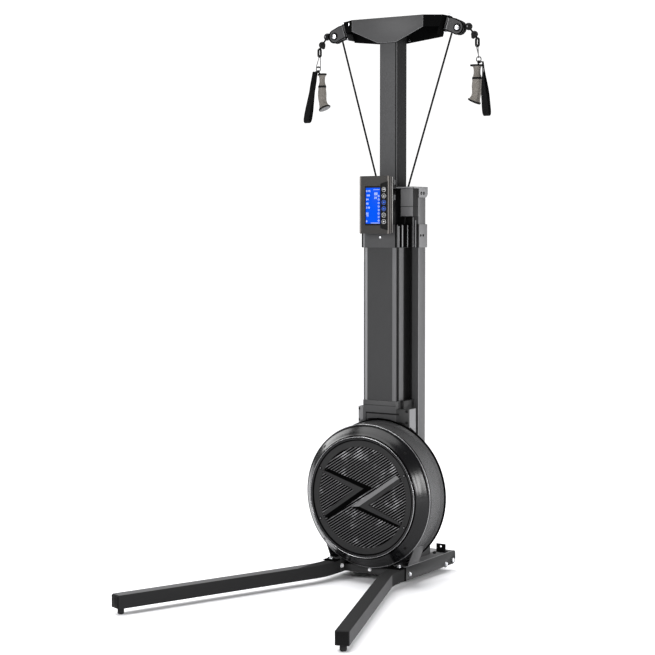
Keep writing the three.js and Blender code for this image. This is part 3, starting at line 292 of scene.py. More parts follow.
def mesh_finish():
    """Perforated steel band: staggered round holes over bright painted metal, darkened towards its top and its bottom
    as painted shade.
    """
    finish = Finish("perforated_band", Specular_IOR_Level=0.3)
    x, y, z = finish.axes()
    pitch = 0.0054
    holes_round = 318
    round_way = finish.maths("ARCTAN2", z - HUB_Z / 1000, x)
    u = round_way * (holes_round / (2 * math.pi))
    v = y * (1 / (pitch * 1.2))

    def reach(shift):
        across = finish.maths("FRACT", u + shift) - 0.5
        along = finish.maths("FRACT", v + shift) - 0.5
        return across * across + along * along * 1.4

    steel = finish.step(finish.maths("MINIMUM", reach(0.0), reach(0.5)), 0.055, 0.085)
    clouds = finish.noise(14, 3)
    bright = finish.colour(clouds, grey(0.095), grey(0.155))
    # Painted shade: the band darkened above and below its lit middle
    bright = finish.colour(finish.step(z, 0.42, 0.6), bright, grey(0.05))
    bright = finish.colour(finish.step(z, 0.16, 0.36), grey(0.055), bright)
    return finish.done(finish.colour(steel, grey(0.006), bright), 0.8 - steel * 0.38, steel, 0.0005)


def gloss_finish():
    """Piano-black shroud with a faint ripple and fine dust."""
    finish = Finish("piano_black", Specular_IOR_Level=0.25)
    dust = finish.step(finish.noise(2300, 2), 0.62, 0.78)
    ripple = finish.noise(6, 2)
    base = finish.colour(dust, (0.004, 0.004, 0.0045), grey(0.009))
    return finish.done(base, dust * 0.1 + ripple * 0.05 + 0.19, ripple, 0.0004)


def slat_finish():
    """Guard slats painted lighter than the guard ring as painted light on their edges, with brighter spots as painted
    highlights.
    """
    finish = Finish("slat_painted_highlights", Specular_IOR_Level=0.2)
    # Painted highlights: brighter spots where the slats catch the light
    glint_patches = finish.step(finish.noise(17, 3), 0.52, 0.7)
    fine = finish.noise(1000, 2)
    dull = finish.colour(fine, grey(0.062), grey(0.095))
    return finish.done(finish.colour(glint_patches, dull, grey(0.34)), fine * 0.1 + 0.36, fine, 0.00006)


def braid_finish():
    """Braided rope: crossing strands that follow the piece's own UV map."""
    finish = Finish("braided_rope", Specular_IOR_Level=0.15)
    u, v, _ = finish.axes(finish.node("ShaderNodeUVMap", {"uv_map": "UVMap"}, {}))
    along = u * 300
    around = v * 4
    strands = finish.wave(along + around) * finish.wave(along - around)
    fuzz = finish.noise(2600, 2)
    base = finish.colour(strands * 0.4 + 0.4, DEEP_BLACK, grey(0.008))
    return finish.done(base, fuzz * 0.2 + 0.62, strands + fuzz * 0.4, 0.0004)


def webbing_finish():
    """Ribbed nylon webbing."""
    finish = Finish("webbing", Specular_IOR_Level=0.12)
    x, y, z = finish.axes()
    weave = finish.wave(z, 0.0022) * 0.6 + finish.wave(x + y, 0.0017) * 0.4
    fuzz = finish.noise(2200, 2)
    base = finish.colour(weave * 0.5 + 0.5, DEEP_BLACK, grey(0.004))
    return finish.done(base, fuzz * 0.15 + 0.76, weave + fuzz * 0.5, 0.00035)


def grip_finish():
    """Warm grey rubber with rows of fine dimples."""
    finish = Finish("grip_rubber", Specular_IOR_Level=0.25)
    x, y, z = finish.axes()
    pitch = 0.004
    dimples = finish.step(finish.wave(z, pitch) * finish.wave(x + y, pitch), 0.15, 0.75)
    clouds = finish.noise(40, 3)
    base = finish.colour(clouds, (0.11, 0.101, 0.09), (0.17, 0.157, 0.141))
    # Painted shade: the base darkened in the dimples' hollows
    base = finish.colour(dimples * 0.35, base, (0.07, 0.064, 0.057))
    return finish.done(base, clouds * 0.15 + 0.5, 1 - dimples, 0.00035)


def glow_finish(name, colour, strength):
    finish = Finish(name, Roughness=0.3, Emission_Strength=strength, Specular_IOR_Level=0.02)
    clouds = finish.noise(30, 2)
    finish.feed("Base Color", finish.colour(clouds, shade(colour, 0.05), shade(colour, 0.08)))
    finish.feed("Emission Color", finish.cloudy(clouds, colour, 0.1))
    return finish.material


def floor_finish():
    finish = Finish("pale_floor", Roughness=0.9)
    clouds = finish.noise(1.5, 3)
    finish.feed("Base Color", finish.colour(clouds, grey(0.86), grey(0.9)))
    return finish.material


# Painted highlight: a lighter strip along the top edges of the beams
FRAME_PAINT = coated("frame_powder", grey(0.026), 0.5, zones=[(grey(0.085), {"z": (77.4, 79)})])
# Painted light: the legs' outer sides lighter, their inner sides darker as painted shade, and a painted highlight along
# the left leg's top edge
LEG_PAINT = coated("leg_powder", grey(0.019), 0.75, sheen=0.06, zones=[
    (grey(0.078), {"across": (24.3, 30), "y": (-1200, -315)}),
    (grey(0.018), {"across": (-30, -24.3), "y": (-1200, -315)}),
    (grey(0.1), {"x": (-1200, -172), "z": (71.6, 73)})])
DECK_PAINT = coated("deck_powder", grey(0.26), 0.42)
TOWER_PAINT = coated("tower_powder", grey(0.046), 0.45)
# Near-black powder; on the crossbar it is painted shade round the lit front plate, and its lighter zone is painted
# light on the left of the underside
BAR_SHADE_PAINT = coated("bar_powder_and_painted_shade", grey(0.003), 0.6, sheen=0.0, zones=[
    (grey(0.02), {"x": (-206, -42), "y": (-50, 30), "z": (2070, 2131)})])
# Painted shade: the post's sides darker than its lit front, and an upright groove near its right edge painted black
POST_PAINT = coated("post_powder", grey(0.058), 0.6, sheen=0.1, zones=[
    (grey(0.009), {"wide": (39, 41)}), (PAINTED_SHADE, {"x": (29.6, 34)})])
# Painted shade on the mast's front, black where the column shades it, and a painted highlight on its front corners
MAST_PAINT = coated("mast_powder", grey(0.084), 0.42, zones=[
    (grey(0.045), {"wide": (81, 108.5), "y": (9, 11.5)}), (PAINTED_SHADE, {"wide": (-1, 81), "y": (9, 11.5)}),
    (grey(0.16), {"wide": (108.5, 116), "y": (9, 14)})])
# Painted light: the head cap's sides lighter, as lit from the right
HEAD_PAINT = coated("head_powder", grey(0.066), 0.42, zones=[
    (grey(0.15), {"wide": (116, 118)})])
# Painted light: the left wing lighter, the right wing darker as painted shade, and the side plates lighter
NECK_PAINT = coated("neck_powder", grey(0.042), 0.5, grain=500, zones=[
    (grey(0.11), {"x": (-117, -75)}), (grey(0.01), {"x": (75, 113)}),
    (grey(0.19), {"wide": (115.5, 118)})])
# Painted highlights on the left front corner and the rear ears' sides; black painted shade on the sides, the right
# front corner, the rear gap and the top edge
COLLAR_PAINT = coated("collar_powder", grey(0.042), 0.45, zones=[
    (grey(0.13), {"x": (-80, -64.5), "y": (-108, -95)}), (PAINTED_SHADE, {"wide": (76.5, 82), "y": (-104, 7)}),
    (PAINTED_SHADE, {"x": (71.5, 79), "y": (-108, -95)}), (PAINTED_SHADE, {"wide": (79, 112), "y": (4, 8)}),
    (PAINTED_SHADE, {"z": (1375, 1378)}), (grey(0.13), {"wide": (113.8, 115), "y": (3, 74)})])
# Painted shade: the guide blocks' outer sides near-black
GUIDE_PLASTIC = coated("guide_plastic", grey(0.13), 0.6, grain=420, spread=0.35, sheen=0.1, zones=[
    (grey(0.01), {"wide": (112.6, 114)})])
BLACK_PLASTIC = coated("black_plastic", grey(0.004), 0.55, sheen=0.08)
GUARD_PLASTIC = coated("guard_plastic", grey(0.018), 0.5, grain=1000, sheen=0.12)
# Painted highlight: light strips and flanks standing for edges that catch the light
HIGHLIGHT_PAINT = coated("painted_highlight", grey(0.13), 0.4, grain=1000)
SHADE = coated("shade_black", grey(0.0015), 0.7, grain=1000, sheen=0.0)
# Painted highlight: light strips, fin edges and screw centres standing for catch lights
HIGHLIGHT_PLASTIC = coated("painted_highlight_edge", grey(0.24), 0.45)
DARK_STEEL = metal("dark_steel", grey(0.09), 0.3)
BEAD_METAL = metal("polished_bead", grey(0.27), 0.26)
SHOULDER_METAL = metal("polished_shoulder", grey(0.3), 0.36)
GREY_PLASTIC = coated("grey_plastic", grey(0.12), 0.5)
# Painted light on the console's sides: light strips as painted highlights on its edges, dark bands as painted shade
CASE_PLASTIC = coated("case_plastic", (0.026, 0.0245, 0.023), 0.5, sheen=0.15, zones=[
    ((0.15, 0.135, 0.125), {"x": (-66, -57), "y": (-149, -145)}),
    ((0.13, 0.12, 0.11), {"x": (61.5, 65), "y": (-149, -140)}),
    ((0.014, 0.011, 0.009), {"wide": (62.5, 65), "y": (-140, -129)}),
    ((0.13, 0.12, 0.115), {"wide": (62.5, 65), "y": (-129, -123.5)}),
    (PAINTED_SHADE, {"wide": (58, 65), "y": (-123.5, -113)}),
    ((0.3, 0.29, 0.28), {"wide": (60, 65), "y": (-113, -106)})])
BRACKET_PAINT = coated("bracket_powder", grey(0.045), 0.5, grain=500, spread=0.3, sheen=0.1)
RUBBER = coated("black_rubber", grey(0.012), 0.75, grain=700, height=0.00015)
BEAD_RUBBER = coated("bead_rubber", grey(0.003), 0.5, grain=700, height=0.00015, sheen=0.12)
BUTTON_RUBBER = coated("button_rubber", grey(0.018), 0.5)
ZINC = metal("bright_zinc", (0.72, 0.73, 0.75), 0.28)
# Painted highlight: zinc bolt heads painted near white for their glint
GLINT_CAP = coated("painted_glint_cap", grey(0.8), 0.3, sheen=0.6)
STEEL = metal("link_steel", grey(0.07), 0.34)
COLUMN = column_finish()
PERFORATED = mesh_finish()
GLOSS = gloss_finish()
SLAT = slat_finish()
BRAID = braid_finish()
WEBBING = webbing_finish()
GRIP = grip_finish()
SCREEN_BLUE = glow_finish("screen_blue", (0.0, 0.088, 0.84), 1.0)
MARK_WHITE = glow_finish("mark_white", (0.7, 0.85, 1.0), 1.0)
MARK_BLUE = glow_finish("mark_blue", (0.02, 0.16, 0.95), 1.2)
MARK_GREY = coated("printed_grey", grey(0.55), 0.5)


# Shapes, in tower millimetres

def placed(bm, matrix):
    bmesh.ops.transform(bm, matrix=matrix, verts=bm.verts)
    return bm


def spread(bm, other, matrix=None):
    """Adds the other mesh to bm, moved by a matrix."""
    if matrix is not None:
        placed(other, matrix)
    carrier = baked("carrier", other)
    bm.from_mesh(carrier)
    bpy.data.meshes.remove(carrier)
    return bm


def joined(*parts):
    bm = bmesh.new()
    for part in parts:
        spread(bm, part)
    return bm


def rounded(bm, width, segments=2, angle=25):
    sharp = [e for e in bm.edges if len(e.link_faces) == 2 and e.calc_face_angle() > math.radians(angle)]
    bmesh.ops.bevel(bm, geom=sharp, offset=width, offset_type="OFFSET", segments=segments, profile=0.5,
                    affect="EDGES", clamp_overlap=True, material=-1)
    return bm


def block(x0, x1, y0, y1, z0, z1, round_by=0.0, segments=2):
    bm = bmesh.new()
    bmesh.ops.create_cube(bm, size=1)
    bmesh.ops.scale(bm, vec=(x1 - x0, y1 - y0, z1 - z0), verts=bm.verts)
    bmesh.ops.translate(bm, vec=((x0 + x1) / 2, (y0 + y1) / 2, (z0 + z1) / 2), verts=bm.verts)
    return rounded(bm, round_by, segments) if round_by else bm


AXIS_TURN = {"z": Matrix.Identity(4), "x": rotation(90, "Y"), "y": rotation(90, "X")}


def rod(axis, radius, low, high, a, b, sides=32, round_by=0.0):
    """A round bar along one axis, at (a, b) in the other two."""
    bm = bmesh.new()
    bmesh.ops.create_cone(bm, cap_ends=True, segments=sides, radius1=radius, radius2=radius, depth=high - low)
    if round_by:
        rounded(bm, round_by, 2, 40)
    middle = (low + high) / 2
    at = {"x": (middle, a, b), "y": (a, middle, b), "z": (a, b, middle)}[axis]
    return placed(bm, Matrix.Translation(at) @ AXIS_TURN[axis])


def lathe(profile, steps=DENSE, centre=(0, 0, 0), closed=True):
    """A profile of (radius, y) turned round the Y axis through centre."""
    bm = bmesh.new()
    verts = [bm.verts.new((radius, y, 0)) for radius, y in profile]
    for a, b in zip(verts, verts[1:]):
        bm.edges.new((a, b))
    if closed:
        bm.edges.new((verts[-1], verts[0]))
    bmesh.ops.spin(bm, geom=list(bm.verts) + list(bm.edges), cent=(0, 0, 0), axis=(0, 1, 0),
                   angle=2 * math.pi, steps=steps, use_merge=True)
    bmesh.ops.remove_doubles(bm, verts=bm.verts, dist=0.0005)
    return placed(outwards(bm), Matrix.Translation(centre))


def plate(outline, axis, low, high, round_by=0.0, segments=2, angle=25):
    """An outline pulled along one axis: along x it is drawn in (y, z), along y in (x, z), along z in (x, y)."""
    bm = bmesh.new()

    def at(u, v, depth):
        return {"x": (depth, u, v), "y": (u, depth, v), "z": (u, v, depth)}[axis]

    verts = [bm.verts.new(at(u, v, low)) for u, v in outline]
    face = bm.faces.new(verts)
    pulled = bmesh.ops.extrude_face_region(bm, geom=[face])
    moved = [v for v in pulled["geom"] if isinstance(v, bmesh.types.BMVert)]
    bmesh.ops.translate(bm, vec=Vector(at(0, 0, high)) - Vector(at(0, 0, low)), verts=moved)
    outwards(bm)
    return rounded(bm, round_by, segments, angle) if round_by else bm


def fan_ring(profile):
    return lathe(profile, FINE, FAN_AXIS)


def section(inner, outer, low, high):
    """The profile of a plain ring or disc."""
    return [(inner, low), (outer, low), (outer, high), (inner, high)]


def even(half):
    """A turned profile whose far half mirrors its near half, drawn up to the middle."""
    return half + [(radius, -y) for radius, y in half[::-1] if y]


def arc(cx, cy, radius, start, end, steps):
    angles = [math.radians(start + (end - start) * i / steps) for i in range(steps + 1)]
    return [(cx + radius * math.cos(t), cy + radius * math.sin(t)) for t in angles]


def wire_run(points, radius, closed=False, sides=3):
    """A round wire along points, as a mesh with a UV map that follows it."""
    data = bpy.data.curves.new("run", "CURVE")
    data.dimensions = "3D"
    data.bevel_depth = radius
    data.bevel_resolution = sides
    data.use_fill_caps = True
    spline = data.splines.new("POLY")
    spline.points.add(len(points) - 1)
    for point, at in zip(spline.points, points):
        point.co = (*at, 1)
    spline.use_cyclic_u = closed
    carrier = stand("run", data)
    bpy.context.view_layer.update()
    mesh = bpy.data.meshes.new_from_object(carrier.evaluated_get(bpy.context.evaluated_depsgraph_get()))
    bm = bmesh.new()
    bm.from_mesh(mesh)
    bpy.data.objects.remove(carrier)
    bpy.data.meshes.remove(mesh)
    bmesh.ops.remove_doubles(bm, verts=bm.verts, dist=0.0005)
    return outwards(bm)


def softened(node, width, segments=2, angle=25):
    """A copy of a CAD node, merged, with its sharp edges rounded off, back in tower millimetres."""
    bm = bmesh.new()
    bm.from_mesh(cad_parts[node].data)
    placed(bm, PLACE.inverted())
    bmesh.ops.remove_doubles(bm, verts=bm.verts, dist=0.002)
    bmesh.ops.dissolve_limit(bm, angle_limit=math.radians(1), verts=bm.verts, edges=bm.edges)
    return rounded(bm, width, segments, angle)


def cord(start, end, steps, radius):
    """A straight length of rope, split into the given number of steps."""
    return wire_run([tuple(start.lerp(end, i / steps)) for i in range(steps + 1)], radius)


def on_side(bm, side):
    """A copy of a right-hand piece, mirrored for the left."""
    copy = bm.copy()
    if side == "left":
        bmesh.ops.scale(copy, vec=(-1, 1, 1), verts=copy.verts)
        bmesh.ops.reverse_faces(copy, faces=copy.faces)
    return copy


def show(name, bm, body, material, nodes=(), smooth=32):
    """Makes the finished piece, placed in the row's frame, and hands it to its body."""
    mesh = baked(name, placed(bm, PLACE))
    mesh.polygons.foreach_set("use_smooth", [True] * len(mesh.polygons))
    mesh.set_sharp_from_angle(angle=math.radians(smooth))
    mesh.materials.append(material)
    made = stand(name, mesh)
    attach(made, body)
    if nodes:
        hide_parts(*nodes)
    return made


def soft(node, name, width, material, slot, segments=2, angle=25):
    """A fixed CAD node with its edges softened; a node with {side} stands on both sides."""
    bm = softened(node.format(side="right"), width, segments, angle)
    if "{side}" in node:
        show_pair(name, bm, "root", material, node)
    else:
        show(name, bm, "root", material, [node])


def trim(name, bm, material, smooth=32):
    """A fixed piece that has no CAD node of its own."""
    return show(name, bm, "root", material, [], smooth)


def show_pair(name, bm, body, material, node=None, smooth=32):
    """The right-hand piece and its mirror image; body and node may carry {side}."""
    for side in SIDES:
        nodes = [node.format(side=side)] if node else []
        show(f"{name}_{side}", on_side(bm, side), body.format(side=side), material, nodes, smooth)
    bm.free()


def trim_pair(name, bm, material, smooth=32):
    show_pair(name, bm, "root", material, None, smooth)


def facing(direction):
    return Vector((0, 0, 1)).rotation_difference(Vector(direction)).to_matrix().to_4x4()


def bolt(at, direction, radius, height, hexagon=False):
    """A bolt head standing out of a face: a washer, a domed or hexagon head and its socket."""
    head = joined(rod("z", radius * 1.25, 0, height * 0.22, 0, 0, 24, height * 0.06),
                  rod("z", radius, height * 0.2, height, 0, 0, 6 if hexagon else 24, radius * 0.14))
    if not hexagon:
        spread(head, rod("z", radius * 0.42, height * 0.9, height * 1.02, 0, 0, 6))
    return placed(head, Matrix.Translation(at) @ facing(direction))


# Ropes first: over the pulleys, down the column and onto the drums

PULLEY_X, PULLEY_Z = 277.5, 2126.4
PULLEY = Vector((PULLEY_X, ROPE_Y, PULLEY_Z))
ROPE_LAY = 23.6
BALL_ONE = Vector((320, ROPE_Y, 2128.4))
BALL_TWO = Vector((344, ROPE_Y, 2096.5))
RING = Vector((363, ROPE_Y, 2002))


def lay_point(degrees):
    turn = math.radians(degrees)
    return (PULLEY.x + ROPE_LAY * math.cos(turn), PULLEY.y, PULLEY.z + ROPE_LAY * math.sin(turn))


def rope_route(drum_y):
    """Over the pulley, down the slope to the mast head, then inside the column to the drum."""
    wrap_from, wrap_turn, steps = 28, 133, 24
    wrap = [lay_point(wrap_from + wrap_turn * i / steps) for i in range(steps + 1)]
    start = Vector(wrap[-1])
    head = Vector((67, 3, 1522.3))
    lower = [(65.5, -4, 1465), (62, -12, 1407.5), (59, -16, 1370), (47, drum_y * 0.55 - 8, 860), (34.1, drum_y, HUB_Z)]
    slope = [start.lerp(head, i / 12) for i in range(1, 13)]
    return wrap + [tuple(p) for p in slope] + lower


def make_ropes():
    for side, sign in SIDES.items():
        run = on_side(wire_run(rope_route(DRUM_Y[side]), 3.9), side)
        made = show(f"rope_{side}", run, "root", BRAID, [f"rope_run_{side}"], 60)
        made.parent = None
        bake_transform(made)
        edge = Vector(lay_point(24))
        lead = on_side(cord(edge, BALL_ONE, 10, 3.4), side)
        made = show(f"rope_lead_{side}", lead, f"line_{side}", BRAID, [], 60)
        made.parent = None
        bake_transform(made)


# Floor frame

def leg_route(inset):
    """Centre line of the right leg, from the root to a point short of its end."""
    points = [tuple(LEG_ROOT), (LEG_ROOT.x, BEND_START_Y)]
    for i in range(1, BEND_STEPS + 1):
        bend = SPLAY * i / BEND_STEPS
        points.append((LEG_ROOT.x + BEND_RADIUS * (1 - math.cos(bend)), BEND_START_Y - BEND_RADIUS * math.sin(bend)))
    x, y = points[-1]
    length = (y - LEG_END_Y) / math.cos(SPLAY) - inset
    points.append((x + length * math.sin(SPLAY), y - length * math.cos(SPLAY)))
    return points


def leg_outline(half, inset):
    points = leg_route(inset)
    sides = {1: [], -1: []}
    for i, (x, y) in enumerate(points):
        x0, y0 = points[max(i - 1, 0)]
        x1, y1 = points[min(i + 1, len(points) - 1)]
        turn = math.atan2(x1 - x0, -(y1 - y0))
        for side in sides:
            sides[side].append((x + side * half * math.cos(turn), y + side * half * math.sin(turn)))
    return sides[-1] + sides[1][::-1]


def make_floor_frame():
    leg = plate(leg_outline(LEG_HALF, 2), "z", LEG_LOW, LEG_TOP, 4.5, 4, 30)
    show_pair("leg_tube", leg, "root", LEG_PAINT, "leg_{side}")
    cap = joined(block(-23, 23, -1.6, 6, LEG_LOW + 2, LEG_TOP - 2, 3, 3), block(-14, 14, -2.4, 4, 33, 61, 2, 2))
    placed(cap, Matrix.Translation((*leg_route(0)[-1], 0)) @ Matrix.Rotation(SPLAY, 4, "Z"))
    trim_pair("leg_end_plug", cap, BLACK_PLASTIC)
    foot = lathe([(0, -22), (8, -22), (12, -18), (12, -4), (10.5, -2), (10.5, -0.3), (0, -0.3)], 32, closed=False)
    placed(foot, Matrix.Translation((*leg_route(24)[-1], LEG_LOW)) @ rotation(90, "X"))
    show_pair("levelling_foot", outwards(foot), "root", RUBBER, "front_foot_{side}")
    soft("rear_foot_{side}", "rear_pad", 1.5, RUBBER, "rubber")
    soft("base_beam_{side}", "beam", 1.2, FRAME_PAINT, "frame_paint")
    soft("front_cross_member", "cross_tube", 1.5, FRAME_PAINT, "frame_paint")
    soft("rear_deck", "deck_plate", 1.0, DECK_PAINT, "deck_paint")
    clamp = joined(*[block(118.2, right, -234.2, -200.4, 72.3, top, 1.0)
                     for right, top in ((174.8, 76.3), (122.2, 80))])
    show_pair("root_clamp", clamp, "root", BAR_SHADE_PAINT, "leg_clamp_{side}")
    trim_pair("clamp_bolt", bolt((152.5, -211, 76.3), (0, 0, 1), 7, 10, True), ZINC)
    soft("hook_tab", "hook", 0.8, BLACK_PLASTIC, "frame_paint")
    stud = lathe([(0, 0), (5, 0), (7, 2.5), (7, 5.5), (4, 8), (0, 8.5)], 24, closed=False)
    placed(stud, Matrix.Translation((141, 86, 78)) @ rotation(90, "X"))
    trim("deck_stud", stud, BLACK_PLASTIC)
    bolts = ((-168, 46, 6.5), (119, 34, 7))
    # Painted shadow: dark rings round the beam bolt heads
    shadow_rings = joined(*[rod("x", 9.5, BEAM_SIDE - 0.4, BEAM_SIDE + 0.5, y, z, 32, 0.2) for y, z, radius in bolts])
    trim_pair("bolt_shadow_rings", shadow_rings, BLACK_PLASTIC)
    # Painted highlight along the top outer edges of the beams
    trim_pair("beam_edge_highlight", block(173.4, 175.3, -196, 176, 76.6, 78.4, 0.4), HIGHLIGHT_PAINT)
    # Painted shade: a dark strip at the front ends of the beams
    trim_pair("beam_end_gap", block(160, 175.4, -200.2, -195.9, 24, 76, 0.4), SHADE)
    soft("wheel_axle", "rear_axle", 0.7, ZINC, "zinc")
    tyre = lathe(even([(5.6, -11.5), (15, -11.5), (16, -9), (23, -9), (24.5, -11.8), (27, -12), (29.4, -9), (30, -4)]),
                 48)
    placed(tyre, Matrix.Translation((100, 172, 41)) @ rotation(90, "Z"))
    show_pair("rear_wheel", tyre, "wheel_{side}", RUBBER, "transport_wheel_{side}")
    heads = joined(*[bolt((BEAM_SIDE, y, z), (1, 0, 0), radius, 5.5) for y, z, radius in bolts])
    trim_pair("beam_bolts", heads, ZINC)
    # The front bolt heads are painted near white as a painted highlight
    front = joined(bolt((0, -172, 44), (0, -1, 0), 6, 5), bolt((-118, -190, 50), (1, 0, 0), 7, 7))
    trim("cross_bolts", front, GLINT_CAP)


# Tower

def make_tower():
    soft("mast", "mast_tube", 3.0, MAST_PAINT, "tower_paint", 3)
    soft("mast_foot", "mast_sleeve", 1.2, TOWER_PAINT, "frame_paint")
    soft("mast_head", "head_cap", 1.0, HEAD_PAINT, "tower_paint")
    soft("upper_post", "post", 1.6, POST_PAINT, "tower_paint", 3)
    soft("column_cover", "column_shell", 0.8, COLUMN, "column_plastic", 2, 40)
    soft("rope_guide_{side}", "rope_guide_block", 1.0, GUIDE_PLASTIC, "moulded_plastic")
    seams = joined(block(58.6, 113.6, -40.25, -39.7, 1444.3, 1446.2), block(112.9, 113.75, -40, -1, 1444.3, 1446.2))
    trim_pair("guide_seam", seams, BLACK_PLASTIC)
    # Painted highlight along the head's front edge
    trim_pair("head_front_edge", block(40, 112, -41, -39.8, 1517, 1520.6, 0.4), HIGHLIGHT_PLASTIC)
    make_bar()
    make_collar()
    make_neck()


def make_bar():
    soft("crossbar", "bar", 0.9, BAR_SHADE_PAINT, "tower_paint")
    wing, waist = 159, 40
    lower_edge = [(-wing, 2133), (-waist, 2081), (waist, 2081), (wing, 2133)]
    # The grey front plate is the crossbar's lit face, the near-black body round it painted shade
    face = plate([(-wing, 2177.6), *lower_edge, (wing, 2177.6)], "y", -48.6, -47.2, 0.45, 2)
    trim("bar_face", face, TOWER_PAINT)
    rivets = bmesh.new()
    spread(rivets, rod("z", 5, 0, 1.4, 0, 0, 24, 0.4), Matrix.Translation((-183, -31.6, 2163.5))
           @ facing((-0.55, -0.835, 0)))
    for x in (-52.5, 52.5):
        spread(rivets, rod("y", 4.2, 33.8, 35.9, x, 2092, 24, 0.4))
    trim("bar_rivets", rivets, ZINC)
    # Painted highlight: a light line along the front plate's sides and lower edges
    lit_edge_line = [(-wing, 2176), *lower_edge, (wing, 2176)]
    lit_edge_line = wire_run([(x, -48.4, max(z, 2081.4)) for x, z in lit_edge_line], 0.9, sides=2)
    trim("bar_edge_highlight", lit_edge_line, HIGHLIGHT_PAINT, 60)


COLLAR_SIDE = 77.8
COLLAR_FOOT = 1288


def make_collar():
    soft("console_collar", "collar", 1.0, COLLAR_PAINT, "moulded_plastic")
    # Painted light: the fins in light grey as lit edges on the collar's dark side
    fins = [block(COLLAR_SIDE, 80.5, y, y + width, COLLAR_FOOT, top, 0.6)
            for y, width, top in ((-93, 4.5, 1369), (-66, 4, 1374), (-25, 3, 1373))]
    fins.append(block(COLLAR_SIDE, 80.5, -67, -60, 1366, 1373, 1))
    trim_pair("collar_fins", joined(*fins), HIGHLIGHT_PLASTIC)
    # Two fins in mid grey, as less lit copies of the light ones
    dull = joined(block(COLLAR_SIDE, 80, -103, -99.5, COLLAR_FOOT, 1374, 0.6),
                  block(COLLAR_SIDE, 79.4, -61, -57, COLLAR_FOOT, 1370, 0.4))
    trim_pair("half_lit_fins", dull, GREY_PLASTIC)
    shades = joined(block(77.9, 78.6, -105, 6.5, 1287.6, 1377, 0.2), block(72.5, 78.2, -106.6, -106, 1287.6, 1377, 0.2))
    trim_pair("collar_shades", shades, SHADE)
    # Painted highlights: light upright strips on the clasp
    strips = joined(block(86, 89, 4.6, 6.4, 1287, 1404, 0.5), block(96, 101, 4.6, 6.4, 1287, 1392, 0.5))
    trim_pair("clasp_highlights", strips, HIGHLIGHT_PLASTIC)
    trim("collar_screw", bolt((5, -106.3, 1326), (0, -1, 0), 3.4, 3.2), ZINC)
    trim("collar_washer", rod("y", 6, -107, -105.8, 5.4, 1325.4, 32, 0.3), GREY_PLASTIC)
    # Painted shade: dark discs round the screws, and light centres on the upper ones as painted highlights
    screws, centres = bmesh.new(), bmesh.new()
    for y in (18, 38):
        spread(screws, rod("x", 6.2, 116.8, 117.7, y, 1497, 32, 0.2))
        spread(screws, rod("x", 4.6, 114.2, 115.6, y, 1333, 32, 0.3))
        spread(centres, rod("x", 1.8, 117.5, 118.1, y, 1497, 24, 0.2))
    trim_pair("tower_screw_shades", screws, SHADE)
    trim_pair("screw_heads", centres, HIGHLIGHT_PLASTIC)


def make_neck():
    soft("fan_bracket", "fan_neck", 1.0, NECK_PAINT, "tower_paint")
    # Painted shade: black lines under the steps across the neck's front
    lines = joined(block(-73, 73, -102.3, -101.7, 673.2, 674.6), block(-60, 88, -102.7, -101.4, 640.5, 646, 0.3),
                   block(-61.5, -58.6, -102.7, -101.4, 612, 646, 0.3))
    trim("neck_shade_lines", lines, BLACK_PLASTIC)
    screws = joined(*[bolt((107, -75.3, z), (0.63, -0.777, 0), 4.4, 2.8) for z in (653.5, 609.5)])
    trim_pair("neck_screws", screws, BLACK_PLASTIC)


# Fan, in radii and in depths from the tower's middle

BAND_OUT = 273.5
LOUVRE_OUT = 194
GUARD_FACE = -233
BLADES = 28
SLAT_GAPS = 41
SLAT_LEAN = -32.3


